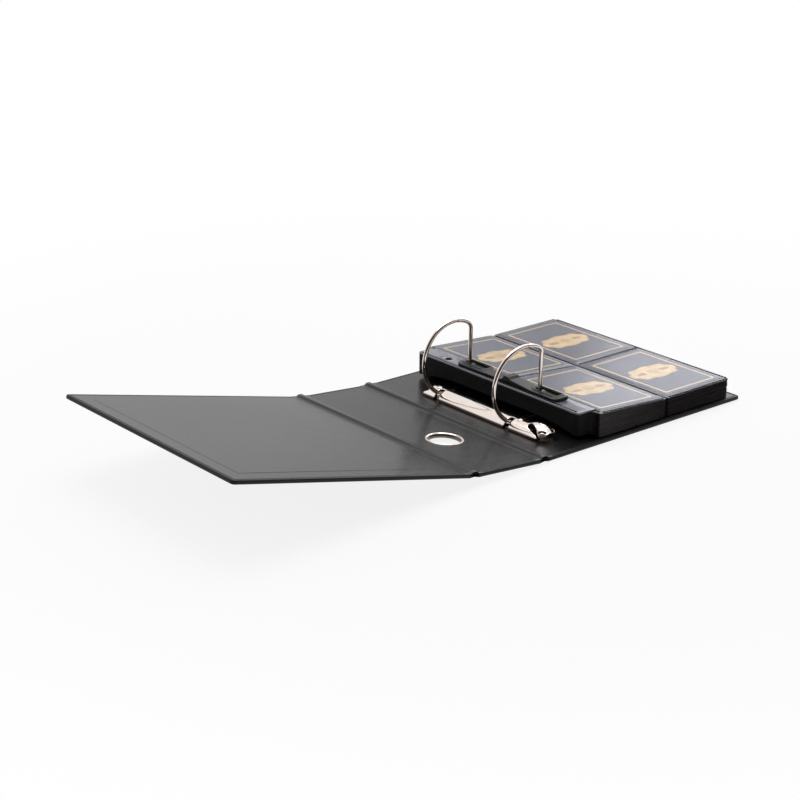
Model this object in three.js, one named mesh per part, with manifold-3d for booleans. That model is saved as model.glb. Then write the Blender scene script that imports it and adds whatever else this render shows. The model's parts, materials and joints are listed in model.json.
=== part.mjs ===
// Trading card ring binder: an open case of two covers and a spine, a two-ring
// mechanism on the back cover, a compressor bar and a stack of pocket pages.
// Millimetres, +Z up. +X runs from the spine to the fore-edge of the back cover.
// The origin is the centre of the back cover's underside.

import * as THREE from 'three';
import { mergeVertices } from 'three/addons/utils/BufferGeometryUtils.js';
import Module from 'manifold-3d';

const wasm = await Module();
wasm.setup();

// Card and page sizes
const cardWidth = 63;
const cardHeight = 88;
const cardRadius = 3;
const pocketSpareHeight = 11;
const innerPocketSpare = 8.8;
const outerPocketSpare = 9.7;
const stripInset = 7.5;
const scoopRadius = 6;
const pageCornerRadius = 5;
const lowerPageCount = 13;
const pageThickness = 0.68;
const bindingPitch = 0.92;
const foreEdgePitch = 1.1;
const foreEdgeFloor = 0.6;
const stripRise = 0.9;
const pageGap = 0.25;
const weldGap = 0.3;
const stripRampWidth = 3.8;
const ringHoleWidth = 4.8;
const ringHoleRadius = 2.1;
const spareHoleRadius = 2.9;
const spareHoleSpacing = 124.8;

// Top page sizes
const backingThickness = 0.35;
const cardThickness = 0.4;
const windowThickness = 0.25;
const pocketGap = 0.15;
const pocketMargin = 0.8;
const pocketRim = 1.2;

// Case sizes
const pageEndMargin = 3.5;
const foreEdgeMargin = 8.7;
const frontCoverShort = 1;
const spineWidth = 68.6;
const spineTilt = 4.65;
const frontCoverTilt = 8.79;
const skinThickness = 0.5;
const boardThickness = 1.6;
const sheetGap = 0.25;
const turnInWidth = 15;
const turnInLip = 1.5;
const caseCornerRadius = 3;
const weltRadius = 3.5;
const weltSetback = 1.5;
const hingeGap = 0.3;

// Finger hole sizes
const fingerHoleRadius = 11.7;
const fingerHoleOffset = 1.6;
const fingerHoleY = -32.3;
const grommetWall = 0.7;
const grommetFlangeWidth = 2.8;
const grommetFlangeThickness = 0.6;
const grommetEdge = 0.35;
const washerThickness = 0.45;

// Ring sizes
const ringSpacing = 80;
const wireRadius = 1.7;
const ringRadius = 30.2;
const ringRise = 1.6;
const ringCentreFromPlate = 8.2;
const postFromCentre = 17.6;
const postTopBend = 6;
const postFootBend = 4;
const postFootZ = 5.2;
const rightRootFromPlate = 3.4;
const rightRootZ = 3.6;
const leftRootFromPlate = 3;
const splitFromCentre = 2.8;
const ringSplitGap = 0.3;
const wireSides = 12;

// Mechanism sizes
const plateX = 28;
const plateHalfWidth = 10;
const plateCrown = 7.4;
const plateThickness = 0.9;
const plateEndRadius = 2.5;
const plateLipHeight = 0.5;
const plateNearReach = 17;
const lipOverlap = 0.6;
const notchWidth = 5.2;
const leftNotchReach = 9;
const rightNotchReach = 7;
const bladeThickness = 0.8;
const bladeSeat = 0.3;
const bladeInset = 2;
const bladeMeetFromPlate = 2.65;
const bladeFarSetback = 2;
const bladeNearSetback = 4;
const bladeHoleClearance = 1;
const rivetFromRing = 6.4;
const rivetEndMargin = 5.1;
const rivetRadius = 1.6;
const rivetHeadRadius = 2.6;
const rivetHeadHeight = 0.9;
const rivetCrownRadius = 1.8;
const rivetCrownHeight = 0.7;
const rivetFootRadius = 4;
const rivetFootThickness = 0.5;

// Opening lever sizes
const leverPinFromPlate = 4;
const leverPinZ = 2;
const leverPinRadius = 0.7;
const leverBossWall = 1;
const earReach = 3;
const farEarReach = 4.5;
const earWall = 1.3;
const earInset = 7.2;
const padLead = -2.5;
const padLength = 21;
const padLift = 0.7;
const padHalfWidth = 8.2;
const tongueHalfWidth = 4;
const tongueGap = 0.7;
const tongueRise = 1.3;
const tongueThickness = 1.2;
const tongueRootLength = 9;
const tongueRootHalfWidth = 3;

// Compressor sizes
const bindingEdgeFromPost = 10.3;
const weldFromPost = 7;
const spareHoleFromPost = 2.8;
const footClearance = 0.4;
const holeLead = 1;
const holeSwing = 3.1;
const slotPlay = 0.4;
const slotSwing = 3.3;
const slotLead = 3.5;
const slotLength = 22.5;
const slotRadius = 1.2;
const barInset = 3;
const barPageGap = 0.5;
const barWaistInset = 2.7;
const barFarReach = 9.5;
const barNearReach = 25.5;
const barGap = 0.3;
const barDepth = 2.4;
const barFarRadius = 5.5;
const barNearRadius = 3;
const humpHeight = 4;
const humpFarY = -6;
const humpNearY = -11.8;
const humpFarRamp = 5;
const humpNearRamp = 12;
const humpShoulder = 1.4;
const barLip = 1;
const barLipRamp = 4;

// Cutting tools reach this far past what they cut
const overshoot = 1;

// Each page is what lies between two spaces of this depth, one higher than the other
const pageSpace = 30;

// Round parts are drawn with this many straight steps
const curveSteps = 4;
const archSteps = 18;
const slotSteps = 2;
const holeSteps = 12;
const pageSteps = 4;
const grommetSteps = 32;
const leftRingSteps = 30;
const rightRingSteps = 48;

// Derived sizes and places
const caseThickness = 2 * skinThickness + boardThickness + 2 * sheetGap;
const caseHalf = caseThickness / 2;
const hingeClear = weltRadius + hingeGap;
const ringY = ringSpacing / 2;
const ringCentreX = plateX + ringCentreFromPlate;
const ringCentreZ = ringRadius + ringRise;
const postX = ringCentreX + postFromCentre;
const bindingEdgeX = postX - bindingEdgeFromPost;
const weldX = postX + weldFromPost;
const stripEndX = weldX - stripRampWidth;
const columnFoldX = weldX + cardWidth + innerPocketSpare;
const foreEdgeX = columnFoldX + cardWidth + outerPocketSpare;
const pageHeight = 2 * (cardHeight + pocketSpareHeight);
const stripHeight = pageHeight - 2 * stripInset;
const caseHeight = pageHeight + 2 * pageEndMargin;
const backCoverWidth = foreEdgeX + foreEdgeMargin;
const frontCoverWidth = backCoverWidth - frontCoverShort;
const barrelRadius = fingerHoleRadius + grommetWall;
const grommetFlangeRadius = fingerHoleRadius + grommetFlangeWidth;
const archRadius = (plateHalfWidth ** 2 + plateCrown ** 2) / (2 * plateCrown);
const archCentreZ = plateCrown - archRadius;
const rivetY = ringY + rivetFromRing;
const plateFarY = rivetY + rivetEndMargin;
const plateNearY = -ringY - plateNearReach;
const bladeFloor = plateLipHeight + bladeSeat;
const bladeHalfSpan = plateHalfWidth - bladeInset;
const bladeMeetX = plateX - bladeMeetFromPlate;
const bladeFarY = plateFarY - bladeFarSetback;
const bladeNearY = plateNearY + bladeNearSetback;
const leverPinY = plateNearY - leverPinFromPlate;
const earEndY = leverPinY - earReach;
const farEarEndY = plateFarY + farEarReach;
const earHeight = leverPinZ + earWall;
const padStartY = leverPinY - padLead;
const padEndY = padStartY - padLength;
const padFloor = earHeight + padLift;
const tongueEndY = bladeNearY - tongueGap;
const tongueFloor = leverPinZ + tongueRise;
const tongueRootY = padStartY - tongueRootLength;
const bindingFloor = postFootZ + wireRadius + footClearance;
const topPageThickness = backingThickness + cardThickness + windowThickness + 2 * pocketGap;
const lastPage = lowerPageCount - 1;
const topBindingZ = bindingFloor + bindingPitch * lastPage + pageThickness + pageGap;
const topForeEdgeZ = foreEdgeFloor + foreEdgePitch * lastPage + pageThickness + pageGap;
const topWeldZ = topBindingZ + topPageThickness;
const stackTop = topWeldZ + stripRise;
const barFloor = stackTop + barGap;
const barTop = barFloor + barDepth;
const barStartX = bindingEdgeX + barInset;
const barEndX = weldX - barPageGap;
const barFarY = ringY + barFarReach;
const barNearY = -ringY - barNearReach;

// Materials
function material(color, roughness, metalness) {
  return new THREE.MeshStandardMaterial({ color, roughness, metalness });
}
const wrapMaterial = material(0x1b1b1d, 0.6, 0);
const linerMaterial = material(0x2a2a2c, 0.5, 0);
const boardMaterial = material(0x8b8680, 0.9, 0);
const weltMaterial = material(0x222224, 0.55, 0);
const nickelMaterial = material(0xd8d4cf, 0.18, 1);
const compressorMaterial = material(0x161618, 0.45, 0);
const filmMaterial = material(0x0d0d0f, 0.4, 0);
const cardMaterial = material(0x6a6b78, 0.4, 0);
const windowMaterial = material(0xc9ccd6, 0.1, 0);

// A closed geometry as a solid that can be cut and joined
function solid(geometry) {
  const bare = geometry.clone();
  bare.deleteAttribute('normal');
  bare.deleteAttribute('uv');
  const merged = mergeVertices(bare, 1e-5);
  return new wasm.Manifold(new wasm.Mesh({
    numProp: 3,
    vertProperties: new Float32Array(merged.attributes.position.array),
    triVerts: new Uint32Array(merged.index.array),
  }));
}

// A solid's surface as a geometry
function surface(body) {
  const mesh = body.getMesh();
  const geometry = new THREE.BufferGeometry();
  const places = new Float32Array(mesh.vertProperties);
  geometry.setAttribute('position', new THREE.BufferAttribute(places, mesh.numProp));
  geometry.setIndex(new THREE.BufferAttribute(new Uint32Array(mesh.triVerts), 1));
  geometry.computeVertexNormals();
  return geometry;
}

function namedMesh(name, shape, look) {
  const geometry = shape instanceof THREE.BufferGeometry ? shape : surface(shape);
  const mesh = new THREE.Mesh(geometry, look);
  mesh.name = name;
  return mesh;
}

// An outline in a plane, straight between its corners
function polygon(corners) {
  return new THREE.Shape(corners.map(([u, v]) => new THREE.Vector2(u, v)));
}

// A rectangle with its own radius at each side: [x0, y0] to [x1, y1]
function roundedOutline([x0, y0], [x1, y1], startRadius, endRadius) {
  const shape = new THREE.Shape();
  shape.moveTo(x0 + startRadius, y0);
  shape.lineTo(x1 - endRadius, y0);
  if (endRadius > 0) {
    shape.absarc(x1 - endRadius, y0 + endRadius, endRadius, -Math.PI / 2, 0);
  }
  shape.lineTo(x1, y1 - endRadius);
  if (endRadius > 0) {
    shape.absarc(x1 - endRadius, y1 - endRadius, endRadius, 0, Math.PI / 2);
  }
  shape.lineTo(x0 + startRadius, y1);
  if (startRadius > 0) {
    shape.absarc(x0 + startRadius, y1 - startRadius, startRadius, Math.PI / 2, Math.PI);
  }
  shape.lineTo(x0, y0 + startRadius);
  if (startRadius > 0) {
    shape.absarc(x0 + startRadius, y0 + startRadius, startRadius, Math.PI, Math.PI * 1.5);
  }
  return shape;
}

// An outline seen from above, from one height to another
function uprightPrism(outline, z0, z1, steps = curveSteps) {
  const settings = { depth: z1 - z0, bevelEnabled: false, curveSegments: steps };
  return solid(new THREE.ExtrudeGeometry(outline, settings).translate(0, 0, z0));
}

// An outline in X and Z, drawn out along Y
function prismAlongY(outline, y0, y1) {
  const settings = { depth: y1 - y0, bevelEnabled: false, curveSegments: archSteps };
  const geometry = new THREE.ExtrudeGeometry(outline, settings);
  return solid(geometry.rotateX(Math.PI / 2).translate(0, y1, 0));
}

// An outline in Y and Z, drawn out along X
function prismAlongX(outline, x0, x1) {
  const settings = { depth: x1 - x0, bevelEnabled: false, curveSegments: curveSteps };
  const geometry = new THREE.ExtrudeGeometry(outline, settings);
  const turn = new THREE.Matrix4().makeBasis(
    new THREE.Vector3(0, 1, 0),
    new THREE.Vector3(0, 0, 1),
    new THREE.Vector3(1, 0, 0),
  );
  return solid(geometry.applyMatrix4(turn).translate(x0, 0, 0));
}

function block([x0, y0, z0], [x1, y1, z1]) {
  const geometry = new THREE.BoxGeometry(x1 - x0, y1 - y0, z1 - z0);
  return solid(geometry.translate((x0 + x1) / 2, (y0 + y1) / 2, (z0 + z1) / 2));
}

// A round bar standing on Z
function uprightRod(x, y, z0, z1, radius, steps = holeSteps) {
  const geometry = new THREE.CylinderGeometry(radius, radius, z1 - z0, steps);
  return solid(geometry.rotateX(Math.PI / 2).translate(x, y, (z0 + z1) / 2));
}

// A round bar lying along X
function rodAlongX(x0, x1, y, z, radius) {
  const geometry = new THREE.CylinderGeometry(radius, radius, x1 - x0, holeSteps);
  return solid(geometry.rotateZ(Math.PI / 2).translate((x0 + x1) / 2, y, z));
}

// A profile of [radius, height] points turned about Z
function turned(profile, steps) {
  const points = profile.map(([radius, height]) => new THREE.Vector2(radius, height));
  return new THREE.LatheGeometry(points, steps).rotateX(Math.PI / 2);
}

function subtractAll(body, cutters) {
  return cutters.reduce((left, cutter) => left.subtract(cutter), body);
}

// Case panels. Each lies with its middle at z = 0, from x0 to x1, and its
// fore-edge corners are rounded.

function panelOutline(x0, x1, foreEdge, inset) {
  const radius = Math.max(caseCornerRadius - inset, 0);
  const halfHeight = caseHeight / 2 - inset;
  return roundedOutline(
    [x0 + inset, -halfHeight],
    [x1 - inset, halfHeight],
    foreEdge === 'start' ? radius : 0,
    foreEdge === 'end' ? radius : 0,
  );
}

// The opening inside the turned-in border, which the liner fills
function linerOutline(x0, x1, foreEdge, clearance) {
  const halfHeight = caseHeight / 2 - turnInWidth - clearance;
  const start = foreEdge === 'start' ? turnInWidth : turnInLip;
  const end = foreEdge === 'end' ? turnInWidth : turnInLip;
  return roundedOutline(
    [x0 + start + clearance, -halfHeight],
    [x1 - end - clearance, halfHeight],
    0,
    0,
  );
}

function panelWrap(x0, x1, foreEdge) {
  const skin = uprightPrism(panelOutline(x0, x1, foreEdge, 0), -caseHalf, caseHalf);
  const hollow = uprightPrism(
    panelOutline(x0, x1, foreEdge, skinThickness),
    skinThickness - caseHalf,
    caseHalf - skinThickness,
  );
  const opening = uprightPrism(linerOutline(x0, x1, foreEdge, 0), 0, caseThickness);
  return skin.subtract(hollow).subtract(opening);
}

function panelBoard(x0, x1, foreEdge) {
  const outline = panelOutline(x0, x1, foreEdge, skinThickness + sheetGap);
  return uprightPrism(outline, -boardThickness / 2, boardThickness / 2);
}

function panelLiner(x0, x1, foreEdge) {
  const outline = linerOutline(x0, x1, foreEdge, sheetGap);
  return uprightPrism(outline, caseHalf - skinThickness, caseHalf);
}

function panelMeshes(name, wrap, board, liner) {
  return [
    namedMesh(`${name}_wrap`, wrap, wrapMaterial),
    namedMesh(`${name}_board`, board, boardMaterial),
    namedMesh(`${name}_liner`, liner, linerMaterial),
  ];
}

// The rounded ridge that fills a hinge, about the hinge axis
function hingeWelt(name) {
  const halfLength = caseHeight / 2 - weltSetback;
  const footAngle = Math.asin(caseHalf / weltRadius);
  const outline = new THREE.Shape();
  outline.absarc(0, 0, weltRadius, -footAngle, Math.PI + footAngle);
  return namedMesh(name, prismAlongY(outline, -halfLength, halfLength), weltMaterial);
}

// Spine and its finger hole, in the spine's own group

function spineMeshes() {
  const x0 = hingeClear - spineWidth;
  const x1 = -hingeClear;
  const holeX = -spineWidth / 2 - fingerHoleOffset;
  const throughHole = uprightRod(
    holeX, fingerHoleY, -caseThickness, caseThickness, barrelRadius + sheetGap, grommetSteps,
  );
  const washerSeat = uprightRod(
    holeX, fingerHoleY, -caseThickness, skinThickness - caseHalf,
    grommetFlangeRadius + sheetGap, grommetSteps,
  );
  const flangeFloor = caseHalf + sheetGap;
  const flangeTop = flangeFloor + grommetFlangeThickness;
  const grommet = turned([
    [barrelRadius, -caseHalf],
    [barrelRadius, flangeFloor],
    [grommetFlangeRadius, flangeFloor],
    [grommetFlangeRadius - grommetEdge, flangeTop],
    [fingerHoleRadius + grommetEdge, flangeTop],
    [fingerHoleRadius, flangeFloor],
    [fingerHoleRadius, -caseHalf],
    [barrelRadius, -caseHalf],
  ], grommetSteps);
  const washerFloor = -caseHalf;
  const washerTop = washerFloor + washerThickness;
  const washer = turned([
    [grommetFlangeRadius, washerFloor],
    [grommetFlangeRadius, washerTop],
    [barrelRadius + sheetGap, washerTop],
    [barrelRadius + sheetGap, washerFloor],
    [grommetFlangeRadius, washerFloor],
  ], grommetSteps);
  return [
    ...panelMeshes(
      'spine',
      panelWrap(x0, x1, 'none').subtract(throughHole).subtract(washerSeat),
      panelBoard(x0, x1, 'none').subtract(throughHole),
      panelLiner(x0, x1, 'none').subtract(throughHole),
    ),
    namedMesh('finger_hole_grommet', grommet.translate(holeX, fingerHoleY, 0), nickelMaterial),
    namedMesh('finger_hole_washer', washer.translate(holeX, fingerHoleY, 0), nickelMaterial),
  ];
}

// Back cover, with holes for the two rivets

function backCoverMeshes() {
  const x0 = hingeClear;
  const x1 = backCoverWidth;
  const holes = [-rivetY, rivetY].map((y) => uprightRod(
    plateX, y, -caseThickness, caseThickness, rivetRadius + sheetGap,
  ));
  const footSeats = [-rivetY, rivetY].map((y) => uprightRod(
    plateX, y, -caseThickness, rivetFootThickness + sheetGap - boardThickness / 2,
    rivetFootRadius + sheetGap,
  ));
  return panelMeshes(
    'back_cover',
    panelWrap(x0, x1, 'end'),
    subtractAll(panelBoard(x0, x1, 'end'), [...holes, ...footSeats]),
    subtractAll(panelLiner(x0, x1, 'end'), holes),
  );
}

function frontCoverMeshes() {
  const x0 = -frontCoverWidth;
  const x1 = -hingeClear;
  return panelMeshes(
    'front_cover',
    panelWrap(x0, x1, 'start'),
    panelBoard(x0, x1, 'start'),
    panelLiner(x0, x1, 'start'),
  );
}

// Ring mechanism. z = 0 is the inner face of the back cover.

// Half the width of the arch at a height, for a radius about its centre
function archReach(radius, z) {
  return Math.sqrt(radius ** 2 - (z - archCentreZ) ** 2);
}

// The arch between two radii, above a floor
function archSection(floor) {
  const innerRadius = archRadius - plateThickness;
  const startAngle = Math.asin((floor - archCentreZ) / archRadius);
  const innerAngle = Math.asin((floor - archCentreZ) / innerRadius);
  const outline = new THREE.Shape();
  outline.absarc(plateX, archCentreZ, archRadius, startAngle, Math.PI - startAngle);
  outline.absarc(plateX, archCentreZ, innerRadius, Math.PI - innerAngle, innerAngle, true);
  return outline;
}

function ringNotches() {
  const deep = plateCrown * 2;
  return [-ringY, ringY].flatMap((y) => [
    block(
      [plateX - plateHalfWidth - overshoot, y - notchWidth / 2, -overshoot],
      [plateX - plateHalfWidth + leftNotchReach, y + notchWidth / 2, deep],
    ),
    block(
      [plateX + plateHalfWidth - rightNotchReach, y - notchWidth / 2, -overshoot],
      [plateX + plateHalfWidth + overshoot, y + notchWidth / 2, deep],
    ),
  ]);
}

function mechanismPlate() {
  const left = plateX - plateHalfWidth;
  const right = plateX + plateHalfWidth;
  const lipReach = bladeHalfSpan - lipOverlap;
  const leftLip = block(
    [left + plateThickness, plateNearY, 0],
    [plateX - lipReach, plateFarY, plateLipHeight],
  );
  const rightLip = block(
    [plateX + lipReach, plateNearY, 0],
    [right - plateThickness, plateFarY, plateLipHeight],
  );
  const arch = prismAlongY(archSection(0), plateNearY, plateFarY).add(leftLip).add(rightLip);
  const plan = roundedEndPlan(left, right, farEarEndY, earEndY, plateEndRadius);
  const ears = plateEars(earEndY, plateNearY).add(plateEars(plateFarY, farEarEndY));
  const rivetHoles = [-rivetY, rivetY].map((y) => uprightRod(
    plateX, y, 0, plateCrown + overshoot, rivetRadius + sheetGap,
  ));
  const pinHole = rodAlongX(left, right, leverPinY, leverPinZ, leverPinRadius + sheetGap);
  const cutters = [...ringNotches(), ...rivetHoles, pinHole];
  return namedMesh(
    'mechanism_plate',
    subtractAll(arch.add(ears).intersect(plan), cutters),
    nickelMaterial,
  );
}

// The two feet of the arch alone, between two places along it
function plateEars(y0, y1) {
  const near = y0 - overshoot;
  const far = y1 + overshoot;
  const top = plateCrown + overshoot;
  return prismAlongY(archSection(0), y0, y1)
    .subtract(block([plateX - earInset, near, -overshoot], [plateX + earInset, far, top]))
    .subtract(block(
      [plateX - plateHalfWidth - overshoot, near, earHeight],
      [plateX + plateHalfWidth + overshoot, far, top],
    ));
}

// A plan that is rounded at its far end
function roundedEndPlan(x0, x1, farY, nearY, radius) {
  const outline = new THREE.Shape();
  outline.moveTo(x0, nearY);
  outline.lineTo(x1, nearY);
  outline.lineTo(x1, farY - radius);
  outline.absarc(x1 - radius, farY - radius, radius, 0, Math.PI / 2);
  outline.lineTo(x0 + radius, farY);
  outline.absarc(x0 + radius, farY - radius, radius, Math.PI / 2, Math.PI);
  outline.lineTo(x0, nearY);
  return uprightPrism(outline, -overshoot, plateCrown + overshoot);
}

function blades() {
  const top = bladeFloor + bladeThickness;
  const holes = [-rivetY, rivetY].map((y) => uprightRod(
    plateX, y, 0, plateCrown, rivetRadius + bladeHoleClearance,
  ));
  const left = block(
    [plateX - bladeHalfSpan, bladeNearY, bladeFloor],
    [bladeMeetX - sheetGap / 2, bladeFarY, top],
  );
  const right = block(
    [bladeMeetX + sheetGap / 2, bladeNearY, bladeFloor],
    [plateX + bladeHalfSpan, bladeFarY, top],
  );
  return [
    namedMesh('left_blade', left, nickelMaterial),
    namedMesh('right_blade', subtractAll(right, holes), nickelMaterial),
  ];
}

// A rivet from the crown of the plate down into the cover board
function rivet(name, y) {
  const foot = sheetGap - boardThickness / 2 - caseHalf;
  const footTop = foot + rivetFootThickness;
  const headFloor = plateCrown + sheetGap;
  const shape = turned([
    [0, foot],
    [rivetFootRadius, foot],
    [rivetFootRadius, footTop],
    [rivetRadius, footTop],
    [rivetRadius, headFloor],
    [rivetHeadRadius, headFloor],
    [rivetCrownRadius, headFloor + rivetCrownHeight],
    [0, headFloor + rivetHeadHeight],
  ], holeSteps);
  return namedMesh(name, shape.translate(plateX, y, 0), nickelMaterial);
}

// Rings. Each is a bent wire in the plane y = constant.

class ArcInXZ extends THREE.Curve {
  constructor(centre, radius, startAngle, endAngle) {
    super();
    this.centre = centre;
    this.radius = radius;
    this.startAngle = startAngle;
    this.endAngle = endAngle;
  }

  getPoint(t, target = new THREE.Vector3()) {
    const angle = this.startAngle + (this.endAngle - this.startAngle) * t;
    const [x, z] = this.centre;
    return target.set(x + this.radius * Math.cos(angle), 0, z + this.radius * Math.sin(angle));
  }
}

function lineInXZ([x0, z0], [x1, z1]) {
  return new THREE.LineCurve3(new THREE.Vector3(x0, 0, z0), new THREE.Vector3(x1, 0, z1));
}

function wire(curves, steps) {
  const path = new THREE.CurvePath();
  curves.forEach((curve) => path.add(curve));
  const section = new THREE.Shape();
  for (let side = 0; side < wireSides; side += 1) {
    const angle = side * 2 * Math.PI / wireSides;
    const place = [wireRadius * Math.cos(angle), wireRadius * Math.sin(angle)];
    if (side === 0) {
      section.moveTo(...place);
    } else {
      section.lineTo(...place);
    }
  }
  return new THREE.ExtrudeGeometry(section, { steps, extrudePath: path, bevelEnabled: false });
}

// The angle on the ring's circle at a place x, above or below its centre
function ringAngle(x, side) {
  return side * Math.acos((x - ringCentreX) / ringRadius);
}

function leftRingHalf(name, y) {
  const turn = 2 * Math.PI;
  const root = turn + ringAngle(plateX - leftRootFromPlate, -1);
  const tip = ringAngle(ringCentreX + splitFromCentre - ringSplitGap / 2, 1);
  const arc = new ArcInXZ([ringCentreX, ringCentreZ], ringRadius, root, tip);
  return namedMesh(name, wire([arc], leftRingSteps).translate(0, y, 0), nickelMaterial);
}

function rightRingHalf(name, y) {
  const bendX = postX - postTopBend;
  const bendReach = ringRadius - postTopBend;
  const bendZ = ringCentreZ + Math.sqrt(bendReach ** 2 - (bendX - ringCentreX) ** 2);
  const joinAngle = Math.atan2(bendZ - ringCentreZ, bendX - ringCentreX);
  const footX = postX - postFootBend;
  const footZ = postFootZ + postFootBend;
  const crown = new ArcInXZ(
    [ringCentreX, ringCentreZ],
    ringRadius,
    ringAngle(ringCentreX + splitFromCentre + ringSplitGap / 2, 1),
    joinAngle,
  );
  const topBend = new ArcInXZ([bendX, bendZ], postTopBend, joinAngle, 0);
  const footBend = new ArcInXZ([footX, footZ], postFootBend, 0, -Math.PI / 2);
  const curves = [
    crown,
    topBend,
    lineInXZ([postX, bendZ], [postX, footZ]),
    footBend,
    lineInXZ([footX, postFootZ], [plateX + rightRootFromPlate, rightRootZ]),
  ];
  return namedMesh(name, wire(curves, rightRingSteps).translate(0, y, 0), nickelMaterial);
}

// Opening lever: a domed thumb pad with a tongue on a cross pin

function openingLever() {
  const roundPart = padHalfWidth;
  const outline = new THREE.Shape();
  outline.moveTo(plateX + padHalfWidth, padStartY);
  outline.lineTo(plateX - padHalfWidth, padStartY);
  outline.lineTo(plateX - padHalfWidth, padEndY + roundPart);
  outline.absarc(plateX, padEndY + roundPart, roundPart, Math.PI, 2 * Math.PI);
  const pad = prismAlongY(archSection(padFloor), padEndY - overshoot, padStartY)
    .intersect(uprightPrism(outline, 0, plateCrown + overshoot));
  const tongue = block(
    [plateX - tongueHalfWidth, padStartY, tongueFloor],
    [plateX + tongueHalfWidth, tongueEndY, tongueFloor + tongueThickness],
  );
  const root = block(
    [plateX - tongueRootHalfWidth, tongueRootY, tongueFloor],
    [plateX + tongueRootHalfWidth, padStartY, plateCrown - plateThickness / 2],
  );
  const boss = rodAlongX(
    plateX - tongueHalfWidth, plateX + tongueHalfWidth, leverPinY, leverPinZ,
    leverPinRadius + leverBossWall,
  );
  const bore = rodAlongX(
    plateX - plateHalfWidth, plateX + plateHalfWidth, leverPinY, leverPinZ,
    leverPinRadius + sheetGap,
  );
  const lever = pad.add(tongue).add(root).add(boss).subtract(bore);
  return namedMesh('opening_lever', lever, nickelMaterial);
}

function leverPin() {
  const reach = archReach(archRadius, leverPinZ) - sheetGap;
  return namedMesh(
    'lever_pin',
    rodAlongX(plateX - reach, plateX + reach, leverPinY, leverPinZ, leverPinRadius),
    nickelMaterial,
  );
}

// Pages. A page's section rises over the inner column and is flat over the outer one.
// The rings' feet hold the stack up, and beyond them its two ends sag to the cover.

function pageSection(bindingZ, foreZ, thickness, startX, endX) {
  const nodes = [
    [bindingEdgeX, bindingZ + stripRise],
    [stripEndX, bindingZ + stripRise],
    [weldX, bindingZ],
    [columnFoldX, foreZ],
    [foreEdgeX, foreZ],
  ].filter(([x]) => x >= startX && x <= endX);
  const top = nodes.map(([x, z]) => [x, z + thickness]).reverse();
  return polygon([...nodes, ...top]);
}

// The page seen from above: the binding strip is shorter and ends in a scoop
function pagePlan() {
  const half = pageHeight / 2;
  const stripHalf = stripHeight / 2;
  const scoopX = stripEndX + half - stripHalf - scoopRadius;
  const outline = new THREE.Shape();
  outline.moveTo(bindingEdgeX, -stripHalf);
  outline.lineTo(scoopX - scoopRadius, -stripHalf);
  outline.absarc(scoopX - scoopRadius, -stripHalf - scoopRadius, scoopRadius, Math.PI / 2, 0, true);
  outline.lineTo(scoopX, -half);
  outline.lineTo(foreEdgeX - pageCornerRadius, -half);
  outline.absarc(foreEdgeX - pageCornerRadius, pageCornerRadius - half, pageCornerRadius, -Math.PI / 2, 0);
  outline.absarc(foreEdgeX - pageCornerRadius, half - pageCornerRadius, pageCornerRadius, 0, Math.PI / 2);
  outline.lineTo(scoopX, half);
  outline.lineTo(scoopX, stripHalf + scoopRadius);
  outline.absarc(scoopX - scoopRadius, stripHalf + scoopRadius, scoopRadius, 0, -Math.PI / 2, true);
  outline.lineTo(bindingEdgeX, stripHalf);
  return uprightPrism(outline, 0, stackTop + overshoot);
}

function pageHoles() {
  const top = stackTop + overshoot;
  const half = ringHoleWidth / 2;
  const startX = postX - wireRadius - holeLead;
  const endX = postX + wireRadius + holeSwing;
  const ringHoles = [-ringY, ringY].map((y) => uprightPrism(
    roundedOutline([startX, y - half], [endX, y + half], ringHoleRadius, ringHoleRadius),
    0,
    top,
    slotSteps,
  ));
  const spareHoles = [-spareHoleSpacing / 2, spareHoleSpacing / 2].map((y) => uprightRod(
    postX - spareHoleFromPost, y, 0, top, spareHoleRadius,
  ));
  return [...ringHoles, ...spareHoles];
}

// The space under one face of a page, whose binding side sags towards both ends
function spaceUnderPage(bindingZ, foreZ, sag) {
  const reach = pageHeight / 2 + overshoot;
  const section = pageSection(
    bindingZ - pageSpace,
    foreZ - pageSpace,
    pageSpace,
    bindingEdgeX - overshoot,
    foreEdgeX + overshoot,
  );
  const settings = { depth: 2 * reach, bevelEnabled: false, steps: pageSteps };
  const geometry = new THREE.ExtrudeGeometry(section, settings);
  geometry.rotateX(Math.PI / 2).translate(0, reach, 0);
  const places = geometry.attributes.position;
  for (let index = 0; index < places.count; index += 1) {
    const atEnd = Math.abs(places.getY(index)) > reach - overshoot / 2;
    if (atEnd && places.getX(index) < weldX + overshoot) {
      places.setZ(index, places.getZ(index) - sag);
    }
  }
  return solid(geometry);
}

function lowerPages() {
  const plan = subtractAll(pagePlan(), pageHoles());
  const pages = [];
  for (let index = 0; index < lowerPageCount; index += 1) {
    const bindingZ = bindingFloor + index * bindingPitch;
    const foreZ = foreEdgeFloor + index * foreEdgePitch;
    const sag = (bindingFloor - foreEdgeFloor) * (1 - index / lastPage);
    const below = spaceUnderPage(bindingZ, foreZ, sag);
    const body = spaceUnderPage(bindingZ + pageThickness, foreZ + pageThickness, sag)
      .subtract(below)
      .intersect(plan);
    const number = String(index + 1).padStart(2, '0');
    pages.push(namedMesh(`page_${number}`, body, filmMaterial));
  }
  return pages;
}

// Top page: a binding strip, and a leaf of backing, cards and clear windows

function topPageStrip() {
  const section = polygon([
    [bindingEdgeX, topBindingZ + stripRise],
    [stripEndX, topBindingZ + stripRise],
    [weldX - weldGap, topBindingZ],
    [weldX - weldGap, topWeldZ],
    [stripEndX, stackTop],
    [bindingEdgeX, stackTop],
  ]);
  const plan = subtractAll(pagePlan(), pageHoles());
  const body = prismAlongY(section, -stripHeight / 2, stripHeight / 2).intersect(plan);
  return namedMesh('top_page_strip', body, filmMaterial);
}

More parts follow.
